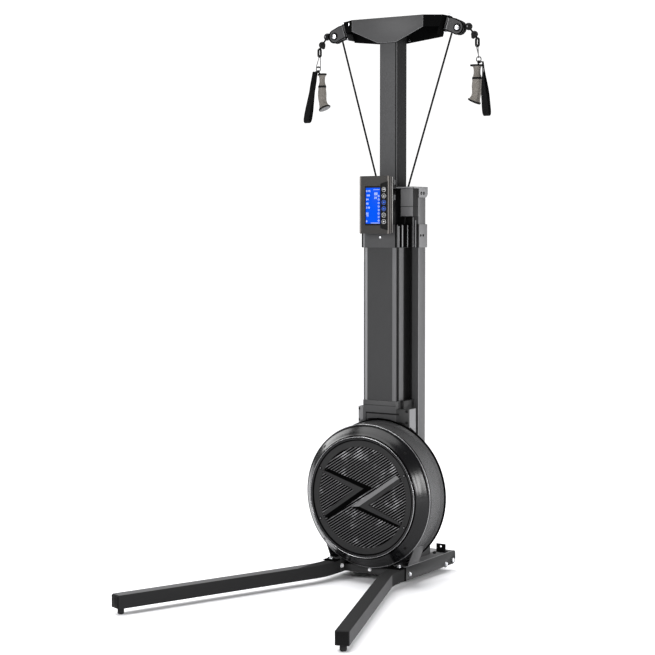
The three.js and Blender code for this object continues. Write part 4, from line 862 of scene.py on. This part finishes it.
def make_fan():
    shroud = [(222.2, -236), (223.4, -237), (231.6, -237), (233.6, -236.2), (235.2, -234.2), (236.6, -231.4),
              (246, -223.2), (257, -211.5), (266, -200.2), (269.6, -196.6), (272.6, -195.4), (274.6, -193.6),
              (275.5, -191.4), (275.5, -183), (274.6, -182), (271.5, -182), (271.5, -190), (262, -199.5),
              (240, -216), (229, -222.4), (214, -222.4), (214, -226.7), (222.2, -226.7)]
    show("shroud", fan_ring(shroud), "root", GLOSS, ["fan_shroud"], 28)
    band = [(270.7, -181.6), (BAND_OUT, -181.6), (BAND_OUT, -104), (281, -92.3), (281, -91.1), (273.6, -91.1),
            (273.6, -100.4), (270.7, -100.4)]
    show("band", fan_ring(band), "root", PERFORATED, ["mesh_band"])
    trim("band_edge", fan_ring(section(271, 274.6, -181.9, -179.5)), BLACK_PLASTIC)
    skirt = plate([(204.6, 153.6), (177, 84), (177, 79), (174.2, 79), (174.2, 84.5), (201.8, 152)], "y",
                  -181.4, -100.6, 0.7, 2)
    trim_pair("fan_skirt", skirt, TOWER_PAINT)
    trim_pair("skirt_toe", block(150, 176.4, -181.4, -100.6, 78.4, 81.2, 0.8), BLACK_PLASTIC)
    trim_pair("toe_edge", block(176.6, 178.2, -180.5, -101.5, 78.8, 81, 0.5), GREY_PLASTIC)
    rim = [(8.4, -112), (27, -112), (28, -111), (28, -100), (272.4, -100), (BAND_OUT, -99), (BAND_OUT, -97),
           (266, -97), (266, -91), (283.4, -91), (285, -89.2), (285, -83.8), (283.4, -82), (260, -82), (260, -94),
           (28, -94), (28, -73), (27, -72), (8.4, -72)]
    back = joined(fan_ring(rim), block(-88, 88, -95, 9.4, 250, 575, 4, 3))
    show("rear_cover", back, "root", BLACK_PLASTIC, ["fan_back"], 28)
    make_guard()
    hub = [(8.5, -212), (22, -212), (26, -208), (26, -126), (186, -126), (186, -123), (8.5, -123)]
    blades = joined(lathe(hub, 96, FAN_AXIS))
    for i in range(BLADES):
        place = AT_FAN @ rotation(360 * i / BLADES, "Y") @ Matrix.Translation((136.5, 0, 0)) @ rotation(0.42, "Y")
        spread(blades, block(-47, 47, -212, -125, -1.2, 1.2, 0.6), place)
    show("rotor", blades, "fan", BLACK_PLASTIC, ["fan_rotor"], 28)
    shaft = lathe([(0, -216), (7, -216), (8, -215), (8, 9), (7, 9.4), (0, 9.4)], 32, FAN_AXIS, False)
    show("shaft", shaft, "fan", DARK_STEEL, ["fan_shaft"])
    for name, radius, y, look in (("lip", 231.6, -236.8, BEAD_METAL), ("shoulder", 274.9, -191.6, SHOULDER_METAL)):
        trim(f"{name}_bead", fan_ring(arc(radius, y, 1.5, 0, 345, 23)), look, 60)
    lip_line = [(234, -235.9), (236.2, -232.6), (237.4, -231.4), (237.6, -232.2), (236.4, -233.6), (234.4, -236.2)]
    trim("lip_shadow", fan_ring(lip_line), SHADE, 60)
    # Painted shade: a matt black ring over the front edge of the rear rim
    rim_line = [(281.2, -91.6), (284, -91.6), (285.4, -90), (285.4, -84), (284, -82.4), (283, -82.4), (283, -90.6),
                (281.2, -90.6)]
    trim("rim_shade", fan_ring(rim_line), SHADE, 60)
    spool = even([(8.4, -13.5), (38.5, -13.5), (40, -12), (39, -10.5), (31, -9), (30, -8)])
    for side, y in DRUM_Y.items():
        drum = lathe(spool, 64, (0, y, HUB_Z))
        show(f"drum_{side}", drum, f"drum_{side}", BLACK_PLASTIC, [f"rope_drum_{side}"])


CREST = ((-167.5, 90.3), (10.6, 35.1), (-167.5, -87.5), (-171.7, -72.8), (-29.8, 26.9), (-174.9, 82.4))
FOOT = ((-155, 99), (47.9, 40.7), (-151, -96), (-176, -76), (-37, 25.5), (-178, 86))


def chevron():
    """A raised arrow-shaped rib with sloping flanks."""
    bm = bmesh.new()
    rings = []
    for outline, y in ((CREST, GUARD_FACE - 4), (FOOT, GUARD_FACE + 1.5), (FOOT, GUARD_FACE + 4)):
        verts = [bm.verts.new((x, y, z)) for x, z in outline]
        rings.append([bm.edges.new((verts[i - 1], verts[i])) for i in range(len(verts))])
        if y != GUARD_FACE + 1.5:
            bm.faces.new(verts)
    for upper, lower in zip(rings, rings[1:]):
        bmesh.ops.bridge_loops(bm, edges=upper + lower)
    return rounded(outwards(bm), 0.5, 2, 12)


def flank(i, j, lift=0.3):
    """A thin skin over one sloping flank of the rib, from its crest down to its foot."""
    bm = bmesh.new()
    corners = [(CREST[i], -4), (CREST[j], -4), (FOOT[j], 1.5), (FOOT[i], 1.5)]
    face = bm.faces.new([bm.verts.new((x, GUARD_FACE + low, z)) for (x, z), low in corners])
    bm.normal_update()
    if face.normal.y > 0:
        face.normal_flip()
    outward = face.normal * lift
    made = bmesh.ops.extrude_face_region(bm, geom=[face])["geom"]
    bmesh.ops.translate(bm, vec=outward, verts=[part for part in made if isinstance(part, bmesh.types.BMVert)])
    return outwards(bm)


def make_guard():
    guard = [(LOUVRE_OUT, -232), (195, GUARD_FACE), (220.6, GUARD_FACE), (221.7, -232), (221.7, -227),
             (LOUVRE_OUT, -227)]
    show("guard", fan_ring(guard), "root", GUARD_PLASTIC, ["fan_guard"], 28)
    slats = bmesh.new()
    for i in range(1, SLAT_GAPS):
        offset = LOUVRE_OUT * (2 * i / SLAT_GAPS - 1)
        half = math.sqrt((LOUVRE_OUT + 1.5) ** 2 - offset ** 2)
        slat = block(-half, half, -231.6, -227, -1.45, 1.45, 0.5)
        spread(slats, slat, AT_FAN @ rotation(SLAT_LEAN, "Y") @ Matrix.Translation((0, 0, offset)))
    trim("guard_slats", slats, SLAT, 28)
    # Painted shade: a black disc behind the slats, where the fan's inside lies in shade
    backing_shade = lathe(section(0, 199, -226.4, -225.4), 96, FAN_AXIS, False)
    trim("guard_backing_shade", backing_shade, SHADE)
    turned = rotation(180, "Y")
    ribs = joined(chevron(), placed(chevron(), turned))
    trim("guard_ribs", placed(ribs, AT_FAN), GUARD_PLASTIC, 20)
    # Painted shade on three of the ribs' flanks and a painted highlight on the fourth, lit flank
    shades = joined(flank(0, 1), flank(1, 2), placed(flank(0, 1), turned))
    trim("rib_shades", placed(shades, AT_FAN), SHADE, 20)
    trim("rib_lights", placed(flank(1, 2), AT_FAN @ turned), HIGHLIGHT_PAINT, 20)
    screws, sinks = bmesh.new(), bmesh.new()
    for x in (-187, 187):
        for z in (-98, 98):
            spread(screws, bolt((x, GUARD_FACE, HUB_Z + z), (0, -1, 0), 2.8, 2.6))
            spread(sinks, rod("y", 5.6, GUARD_FACE - 0.9, GUARD_FACE + 1, x, HUB_Z + z, 24, 0.3))
    trim("guard_screws", screws, GREY_PLASTIC)
    # Painted shade in the groove round the guard ring and in the sinks round the guard screws
    trim("guard_groove", fan_ring(section(217.6, 221.9, -233.4, -232.6)), SHADE, 60)
    trim("screw_sinks", sinks, SHADE)
    notches = bmesh.new()
    for i in range(4):
        turn = math.radians(45 + 90 * i)
        slope = Vector((math.cos(turn), -0.95, math.sin(turn)))
        at = (255 * math.cos(turn), -213.5, HUB_Z + 255 * math.sin(turn))
        spread(notches, rod("z", 6, -6, 0.9, 0, 0, 24, 0.8), Matrix.Translation(at) @ facing(slope))
    trim("shroud_screws", notches, BLACK_PLASTIC)


# Crossbar ends

def make_pulley_ends():
    bracket = "bracket_{side}"
    cheek = softened("pulley_bracket_right", 0.7)
    show_pair("swivel_bracket", cheek, bracket, BRACKET_PAINT, "pulley_bracket_{side}")
    outline = [(222.5, 2128), (229.5, 2118.5), (257.7, 2106.6)] + arc(PULLEY_X, PULLEY_Z, 28, 225, 432, 24)[1:]
    outline += [(258, 2165.4), (242.5, 2168)]
    # Painted shade: a dark outline round the bracket's cheek
    show_pair("bracket_edge", plate(outline, "y", 8.3, 8.9, 0.2, 1), bracket, SHADE, None)
    mid_x, mid_z, shrink = 254, 2137, 0.875
    inner = [(mid_x + (x - mid_x) * shrink, mid_z + (z - mid_z) * shrink) for x, z in outline]
    show_pair("bracket_face", plate(inner, "y", 7.9, 8.6, 0.2, 1), bracket, BRACKET_PAINT, None)
    # Painted highlight: a light stripe along the bracket's bent edge
    highlight_strip = plate([(227.5, 2124), (230, 2122), (243, 2163), (240.4, 2164)], "y", 7.4, 8.2, 0.3, 1)
    show_pair("bracket_fold", highlight_strip, bracket, HIGHLIGHT_PAINT, None)
    soft("hinge_pin_{side}", "swivel_pin", 0.5, ZINC, "zinc")
    groove = even([(5.4, -6.8), (9, -6.8), (10, -5.4), (20, -5.4), (22, -7), (25.4, -7), (26, -6.2), (21, -3.6),
                   (19.6, 0)])
    sheave = lathe(groove, 64, PULLEY)
    show_pair("sheave", sheave, "pulley_wheel_{side}", BLACK_PLASTIC, "pulley_{side}")
    centre = (PULLEY.x, 0, PULLEY.z)
    axle = rod("y", 5, 8.7, 35.3, PULLEY.x, PULLEY.z, 32)
    head = lathe([(0, 2.6), (7.4, 2.6), (9.6, 3.4), (10.6, 5), (10.8, 8.7), (0, 8.7)], 48, centre, False)
    nut = rod("y", 9.8, 35.3, 40.2, PULLEY.x, PULLEY.z, 6, 0.8)
    show_pair("sheave_axle", joined(axle, head, nut), bracket, ZINC, "pulley_axle_{side}")
    # Painted shade: a dark ring round the axle head
    washer = lathe(section(10.8, 14.6, 6, 8.9), 48, centre)
    show_pair("sheave_axle_shade", washer, bracket, SHADE, None)
    dimple = rod("y", 3, 2.2, 3.2, PULLEY.x + 2, PULLEY.z - 1.5, 24, 0.2)
    show_pair("axle_dimple", dimple, bracket, GREY_PLASTIC, None)
    nuts = joined(rod("z", 7.4, 30.5, 37, 0, 0, 24, 1.5), rod("z", 8.4, -39, -29.6, 0, 0, 6, 0.8))
    placed(nuts, Matrix.Translation((230, ROPE_Y, 2146)) @ rotation(17.3, "Y"))
    trim_pair("pin_nuts", nuts, ZINC)


def racetrack(x, z, half_width, half_height, steps=10):
    straight = half_height - half_width
    upper = arc(x, z + straight, half_width, 0, 180, steps)
    lower = arc(x, z - straight, half_width, 180, 360, steps)
    return [(x, ROPE_Y, z) for x, z in upper + lower]


def make_line_ends():
    bead = even([(0, -14.6), (4.6, -14.4), (6, -13.2), (10.2, -10.4), (13.4, -5.4), (14.4, 0)])
    pear = [(0, -17), (4.8, -16.6), (6.6, -13.4), (9.6, -9), (12.8, -3.5), (13.8, 2), (12.6, 7.4), (9, 11.6),
            (5.4, 13.6), (0, 14)]
    line = bmesh.new()
    for profile, at, lean in ((bead, BALL_ONE, -35), (pear, BALL_TWO, 30)):
        spread(line, lathe(profile, 40, closed=False), Matrix.Translation(at)
               @ rotation(lean, "Y") @ rotation(90, "X"))
    show_pair("stop_beads", line, "line_{side}", BEAD_RUBBER, "rope_end_{side}", 40)
    spot = rod("y", 3.4, 6.9, 8.6, BALL_ONE.x + 1, BALL_ONE.z, 24, 0.6)
    show_pair("bead_spot", spot, "line_{side}", GREY_PLASTIC, None)
    tail = Vector((356.8, ROPE_Y, 2081))
    stub = joined(cord(BALL_ONE, BALL_TWO, 6, 3.5), cord(BALL_TWO, tail, 6, 3.8),
                  wire_run(racetrack(357, 2066.5, 6, 15), 4.3, True))
    show_pair("rope_eye", stub, "line_{side}", BRAID, None, 60)
    link = wire_run([(357, 16.3, 2057.2), (357, 16.3, 2045.8), (368, 14.2, 2009.6), (367.5, 14.8, 2008),
                     (363, 22, 2008), (358.5, 29.2, 2008), (358, 29.8, 2009.6), (357, 27.7, 2045.8),
                     (357, 27.7, 2057.2)], 1.7, True)
    ring = wire_run([(x, ROPE_Y, z) for x, z in arc(RING.x, RING.z, 10, 0, 352.5, 47)], 2.0, True)
    spread(link, ring)
    show_pair("wire_link", link, "line_{side}", STEEL, "handle_link_{side}", 60)


GRIP_X, GRIP_Y, GRIP_TOP = 351, 32, 1984
BEND_FROM = 88
BEND_RATE = 0.0045
WIDE_SIDE = 32.7
OVAL = 0.2


def bend_grip(bm):
    """Makes an upright turned piece oval towards the wide side of the hand, and bends it along the grip's axis."""
    wide = Vector((math.cos(math.radians(WIDE_SIDE)), 0, math.sin(math.radians(WIDE_SIDE))))
    for vert in bm.verts:
        down = -vert.co.y
        vert.co += wide * wide.dot(vert.co) * OVAL * min(1.0, max(0.3, (150 - down) / 60))
        past = max(0.0, down - BEND_FROM)
        tilt = math.atan(2 * BEND_RATE * past)
        x = GRIP_X - BEND_RATE * past * past + vert.co.x * math.cos(tilt)
        z = GRIP_TOP - down - vert.co.x * math.sin(tilt)
        vert.co = (x, GRIP_Y + vert.co.z, z)
    return outwards(bm)


def smooth_profile(points, steps=4):
    """Rounds a turned profile by Catmull-Rom spans between its points."""
    out = []
    for i in range(len(points) - 1):
        p0 = Vector(points[max(i - 1, 0)])
        p1 = Vector(points[i])
        p2 = Vector(points[i + 1])
        p3 = Vector(points[min(i + 2, len(points) - 1)])
        for k in range(steps):
            t = k / steps
            out.append(tuple(0.5 * (2 * p1 + (p2 - p0) * t + (2 * p0 - 5 * p1 + 4 * p2 - p3) * t * t
                                    + (3 * p1 - p0 - 3 * p2 + p3) * t * t * t)))
    out.append(tuple(points[-1]))
    return out


def make_grips():
    upper = smooth_profile([(14.6, -6.4), (13.2, -10), (11.6, -16), (11, -24), (11.3, -36), (13.6, -45), (15, -49)])
    lower = smooth_profile([(15.2, -56.5), (15.3, -62), (16.4, -74), (17, -84), (16.4, -98), (15.7, -112), (16.6, -122),
                            (19, -130), (22.6, -137)])
    body = joined(lathe([(0, -6.4), *upper, (0, -49)], 56, closed=False),
                  lathe([(0, -56.5), *lower, (0, -137)], 56, closed=False))
    show_pair("grip", bend_grip(body), "handle_{side}", GRIP, "handle_grip_{side}", 40)
    caps = lathe([(0, -0.2), (15, -0.2), (16, -1.4), (16, -5.6), (15, -7), (0, -7)], 64, closed=False)
    along = rotation(-WIDE_SIDE, "Y")
    widen = Matrix.Diagonal((22.5 / 16, 1, 1, 1))
    placed(caps, along @ widen @ along.inverted())
    for profile in ([(0, -48.6), (15.1, -48.6), (16, -50), (16, -55.5), (15.1, -57), (0, -57)],
                    [(0, -136), (23, -136), (24.6, -137.6), (24.6, -141), (23.4, -142), (0, -142)]):
        spread(caps, lathe(profile, 56, closed=False))
    show_pair("grip_flanges", bend_grip(caps), "handle_{side}", BLACK_PLASTIC, None, 40)
    sole = lathe(section(0, 21, -141.8, -142.4), 56, closed=False)
    show_pair("grip_sole", bend_grip(sole), "handle_{side}", GREY_PLASTIC, None, 40)
    lug = lathe(even([(3.2, -4), (5.2, -4), (6, -3.2)]), 40)
    placed(lug, Matrix.Translation(RING - Vector((0, 0, 10))) @ rotation(90, "Z"))
    stalk = wire_run([(361.5, 23.5, 1986.4), (359, 25.5, 1985), (356, 29, 1982.5)], 2.8)
    show_pair("grip_lug", joined(lug, stalk), "handle_{side}", BLACK_PLASTIC, None, 40)


STRAP_TOP = Vector((379.5, 24, 1992.5))
STRAP_FOOT = Vector((406.5, 6.5, 1786))
STRAP_DROP = 200


def strap_row(share, opening, columns=9):
    """One cross row of the webbing: its middle, its half width and how far it is twisted at this share of its drop."""
    middle = STRAP_TOP.lerp(STRAP_FOOT, share)
    half = 11 + 2.5 * share
    twist = math.radians(-57 * min(1.0, max(0.0, 1.25 - share * 1.7)))
    row = []
    for c in range(columns):
        along = half * (2 * c / (columns - 1) - 1)
        row.append((middle.x + along * math.cos(twist) - opening * math.sin(twist),
                    middle.y + along * math.sin(twist) + opening * math.cos(twist), middle.z))
    return row


def make_straps():
    """A webbing loop twisted at the ring, open at the foot, with a short tie to the ring."""
    tie = wire_run([(366.4, 22, 1988), (371, 22, 1991), (375.5, 23, 1993), (379, 24, 1990)], 2.4)
    show_pair("strap_tie", tie, "handle_{side}", BEAD_RUBBER, None, 60)
    gaps = [(0, 1.4), (-16, 2.0), (-60, 4.2), (-110, 8.6), (-150, 11.4), (-178, 12), (-193, 9), (-STRAP_DROP, 0)]
    front = smooth_profile([(gap, z) for z, gap in gaps], 5)
    loop = front + [(-gap, z) for gap, z in front[::-1][1:]]
    bm = bmesh.new()
    rows = [[bm.verts.new(at) for at in strap_row(min(1.0, -z / STRAP_DROP), gap)] for gap, z in loop]
    for i, row in enumerate(rows):
        below = rows[(i + 1) % len(rows)]
        for c in range(len(row) - 1):
            bm.faces.new((row[c], row[c + 1], below[c + 1], below[c]))
    outwards(bm)
    for side in SIDES:
        made = show(f"wrist_strap_{side}_webbing", on_side(bm, side), f"handle_{side}", WEBBING,
                    [f"wrist_strap_{side}"], 50)
        thick = made.modifiers.new("thickness", "SOLIDIFY")
        thick.thickness = 0.0022
        thick.offset = 0
        soft = made.modifiers.new("soft_edges", "SUBSURF")
        soft.levels = soft.render_levels = 1
    bm.free()


# Console

def rounded_panel(x0, x1, z0, z1, radius, steps=6):
    return (arc(x1 - radius, z0 + radius, radius, -90, 0, steps) + arc(x1 - radius, z1 - radius, radius, 0, 90, steps)
            + arc(x0 + radius, z1 - radius, radius, 90, 180, steps)
            + arc(x0 + radius, z0 + radius, radius, 180, 270, steps))


BUTTON_X = 47
LIT_KEYS = (2, 3)
BUTTONS = [1509.3 - 24.5 * i for i in range(6)]


def make_console():
    shell = joined(plate(rounded_panel(-64, 64, 1340, 1562, 3), "y", -147, -124, 2, 3, 50),
                   plate(rounded_panel(-62, 62, 1342, 1560, 5), "y", -120.5, -106.6, 2.4, 3, 50),
                   plate(rounded_panel(-60.5, 60.5, 1343.5, 1558.5, 8), "y", -125, -119))
    show("console_shell", shell, "root", CASE_PLASTIC, ["console_case"], 40)
    bezel = plate(rounded_panel(-39, 30.2, 1372, 1523, 3), "y", -147.8, -146.4, 0.5, 2, 50)
    trim("screen_bezel", bezel, BLACK_PLASTIC, 40)
    strip = plate([(30.6, 1361), (63, 1353.5), (63, 1541), (30.6, 1532)], "y", -147.9, -146.2, 0.4, 2, 50)
    trim("button_strip", strip, BLACK_PLASTIC, 40)
    glass = block(-34.5, 29, -148, -146.8, 1378.7, 1516.4, 0.3)
    show("display", glass, "root", SCREEN_BLUE, ["console_screen"])
    make_display_marks()
    for i, z in enumerate(BUTTONS):
        key = lathe([(0, -149.2), (7.5, -149.6), (8.6, -149.8), (9.6, -149.4), (9.9, -147.2), (9.9, -145), (0, -145)],
                    40, (BUTTON_X, 0, z), False)
        show(f"key_{i + 1}", key, f"button_{i + 1}", BUTTON_RUBBER, [f"console_button_{i + 1}"], 40)
        make_key_mark(i, z)


def bars(marks, y0, y1):
    return joined(*[block(x0, x1, y0, y1, z0, z1) for x0, x1, z0, z1 in marks])


SEGMENTS = {"a": (0, 1, 1, 1), "b": (1, 1, 0.5, 1), "c": (1, 1, 0, 0.5), "d": (0, 1, 0, 0), "e": (0, 0, 0, 0.5),
            "f": (0, 0, 0.5, 1), "g": (0, 1, 0.5, 0.5)}
DIGITS = {"0": "abcdef", "1": "bc", "2": "abged", "3": "abgcd", "4": "fgbc", "5": "afgcd", "6": "afgedc", "7": "abc",
          "8": "abcdefg", "9": "abcdfg"}


def digits(text, x, z, height, thick):
    """Seven-segment numbers as thin bars, from the left end x and foot z."""
    marks = []
    width = height * 0.5
    for letter in text:
        if letter == ":":
            marks += [(x, x + thick, z + height * s, z + height * s + thick) for s in (0.25, 0.62)]
            x += thick * 2.4
            continue
        for name in DIGITS[letter]:
            u0, u1, v0, v1 = SEGMENTS[name]
            marks.append((x + u0 * width, x + u1 * width + thick, z + v0 * height, z + v1 * height + thick))
        x += width + thick * 2.6
    return marks


def make_display_marks():
    marks = []
    rows = ("0:45", "128", "24", "56", "310", "92", "75", "8")
    levels = (1500.5, 1484, 1468, 1452.5, 1437, 1414.5, 1406.5, 1384.5)
    for text, z in zip(rows, levels):
        marks += digits(text, -32.4, z, 5.6, 1.1)
    marks += digits("88", 4, 1488, 8.5, 1.3)
    marks += digits("20", 4, 1474, 6.5, 1.1)
    marks.append((-12, 27.5, 1380.4, 1382))
    marks.append((-1, 27, 1508.5, 1509.6))
    front, back = -148.25, -147.7
    rings = [lathe(section(2.3, 3.6, front, back), 20, (23.2, 0, 1484.5 - 13.4 * i)) for i in range(8)]
    trim("display_marks", joined(bars(marks, front, back), *rings), MARK_WHITE, 40)


def make_key_mark(i, z):
    """A printed ring round each key and a plain mark on it; two keys are lit."""
    front, back = -149.9, -149
    x = BUTTON_X
    forms = [
        lambda: bars([(x - 4.4, x + 4.4, z - 0.4, z + 2.6)], front, back),
        lambda: plate([(x - 3.6, z - 2.2), (x + 3.6, z - 2.2), (x, z + 3)], "y", front, back),
        lambda: lathe(section(0, 3, front, back), 24, (x, 0, z), False),
        lambda: bars([(x - 3.2, x + 1.2, z - 2.4, z + 2.4), (x + 1.2, x + 3.2, z - 2.4, z + 0.6)], front, back),
        lambda: bars([(x - 3.6, x + 3.6, z - 0.8, z + 0.8)], front, back),
        lambda: lathe(section(0, 2.6, front, back), 24, (x, 0, z), False),
    ]
    edge = [(7.8, front - 0.15), (8.7, front - 0.15), (8.7, front + 0.6), (7.8, front + 0.4)]
    look = MARK_BLUE if i in LIT_KEYS else MARK_GREY
    for name, form in (("mark", forms[i]()), ("ring", lathe(edge, 40, (x, 0, z)))):
        show(f"key_{name}_{i + 1}", form, f"button_{i + 1}", look, [], 40)


# Studio

def area_light(name, at, target, size, power):
    data = bpy.data.lights.new(name, "AREA")
    data.shape = "RECTANGLE"
    data.size, data.size_y = size
    data.energy = power
    lamp = stand(name, data)
    lamp.location = at
    lamp.rotation_euler = (Vector(target) - Vector(at)).to_track_quat("-Z", "Y").to_euler()


def make_studio():
    bm = bmesh.new()
    bmesh.ops.create_grid(bm, x_segments=8, y_segments=8, size=60)
    mesh = baked("floor", bm)
    mesh.materials.append(floor_finish())
    floor = stand("floor", mesh)
    world = bpy.data.worlds.new("studio")
    bpy.context.scene.world = world
    world.use_nodes = True
    tree = world.node_tree
    background = next(n for n in tree.nodes if n.type == "BACKGROUND")
    background.inputs["Color"].default_value = (1, 1, 1, 1)
    seen = tree.nodes.new("ShaderNodeLightPath")
    level = tree.nodes.new("ShaderNodeMapRange")
    level.inputs["To Min"].default_value = 0.16
    level.inputs["To Max"].default_value = 1.1
    tree.links.new(seen.outputs["Is Camera Ray"], level.inputs["Value"])
    tree.links.new(level.outputs[0], background.inputs["Strength"])
    bpy.context.scene.view_settings.view_transform = "Standard"
    sun = bpy.data.lights.new("overhead", "SUN")
    sun.energy = 3.5
    sun.angle = math.radians(58)
    stand("overhead", sun).rotation_euler = (math.radians(-4), math.radians(-9), 0)
    area_light("key", (-2.4, -5.0, 3.0), (0, 0, 1.2), (1.6, 2.2), 210)
    area_light("rear_right", (3.2, 3.4, 1.6), (0, 0.3, 1.0), (1.0, 3.2), 80)
    area_light("left_strip", (-4.0, 1.5, 2.7), (0, 0.0, 0.6), (1.8, 2.6), 75)
    area_light("right_low", (4.2, -1.9, 1.5), (0, 0.2, 0.4), (0.75, 1.9), 140)


set_camera()
make_ropes()
make_floor_frame()
make_tower()
make_fan()
make_pulley_ends()
make_line_ends()
make_grips()
make_straps()
make_console()
make_studio()
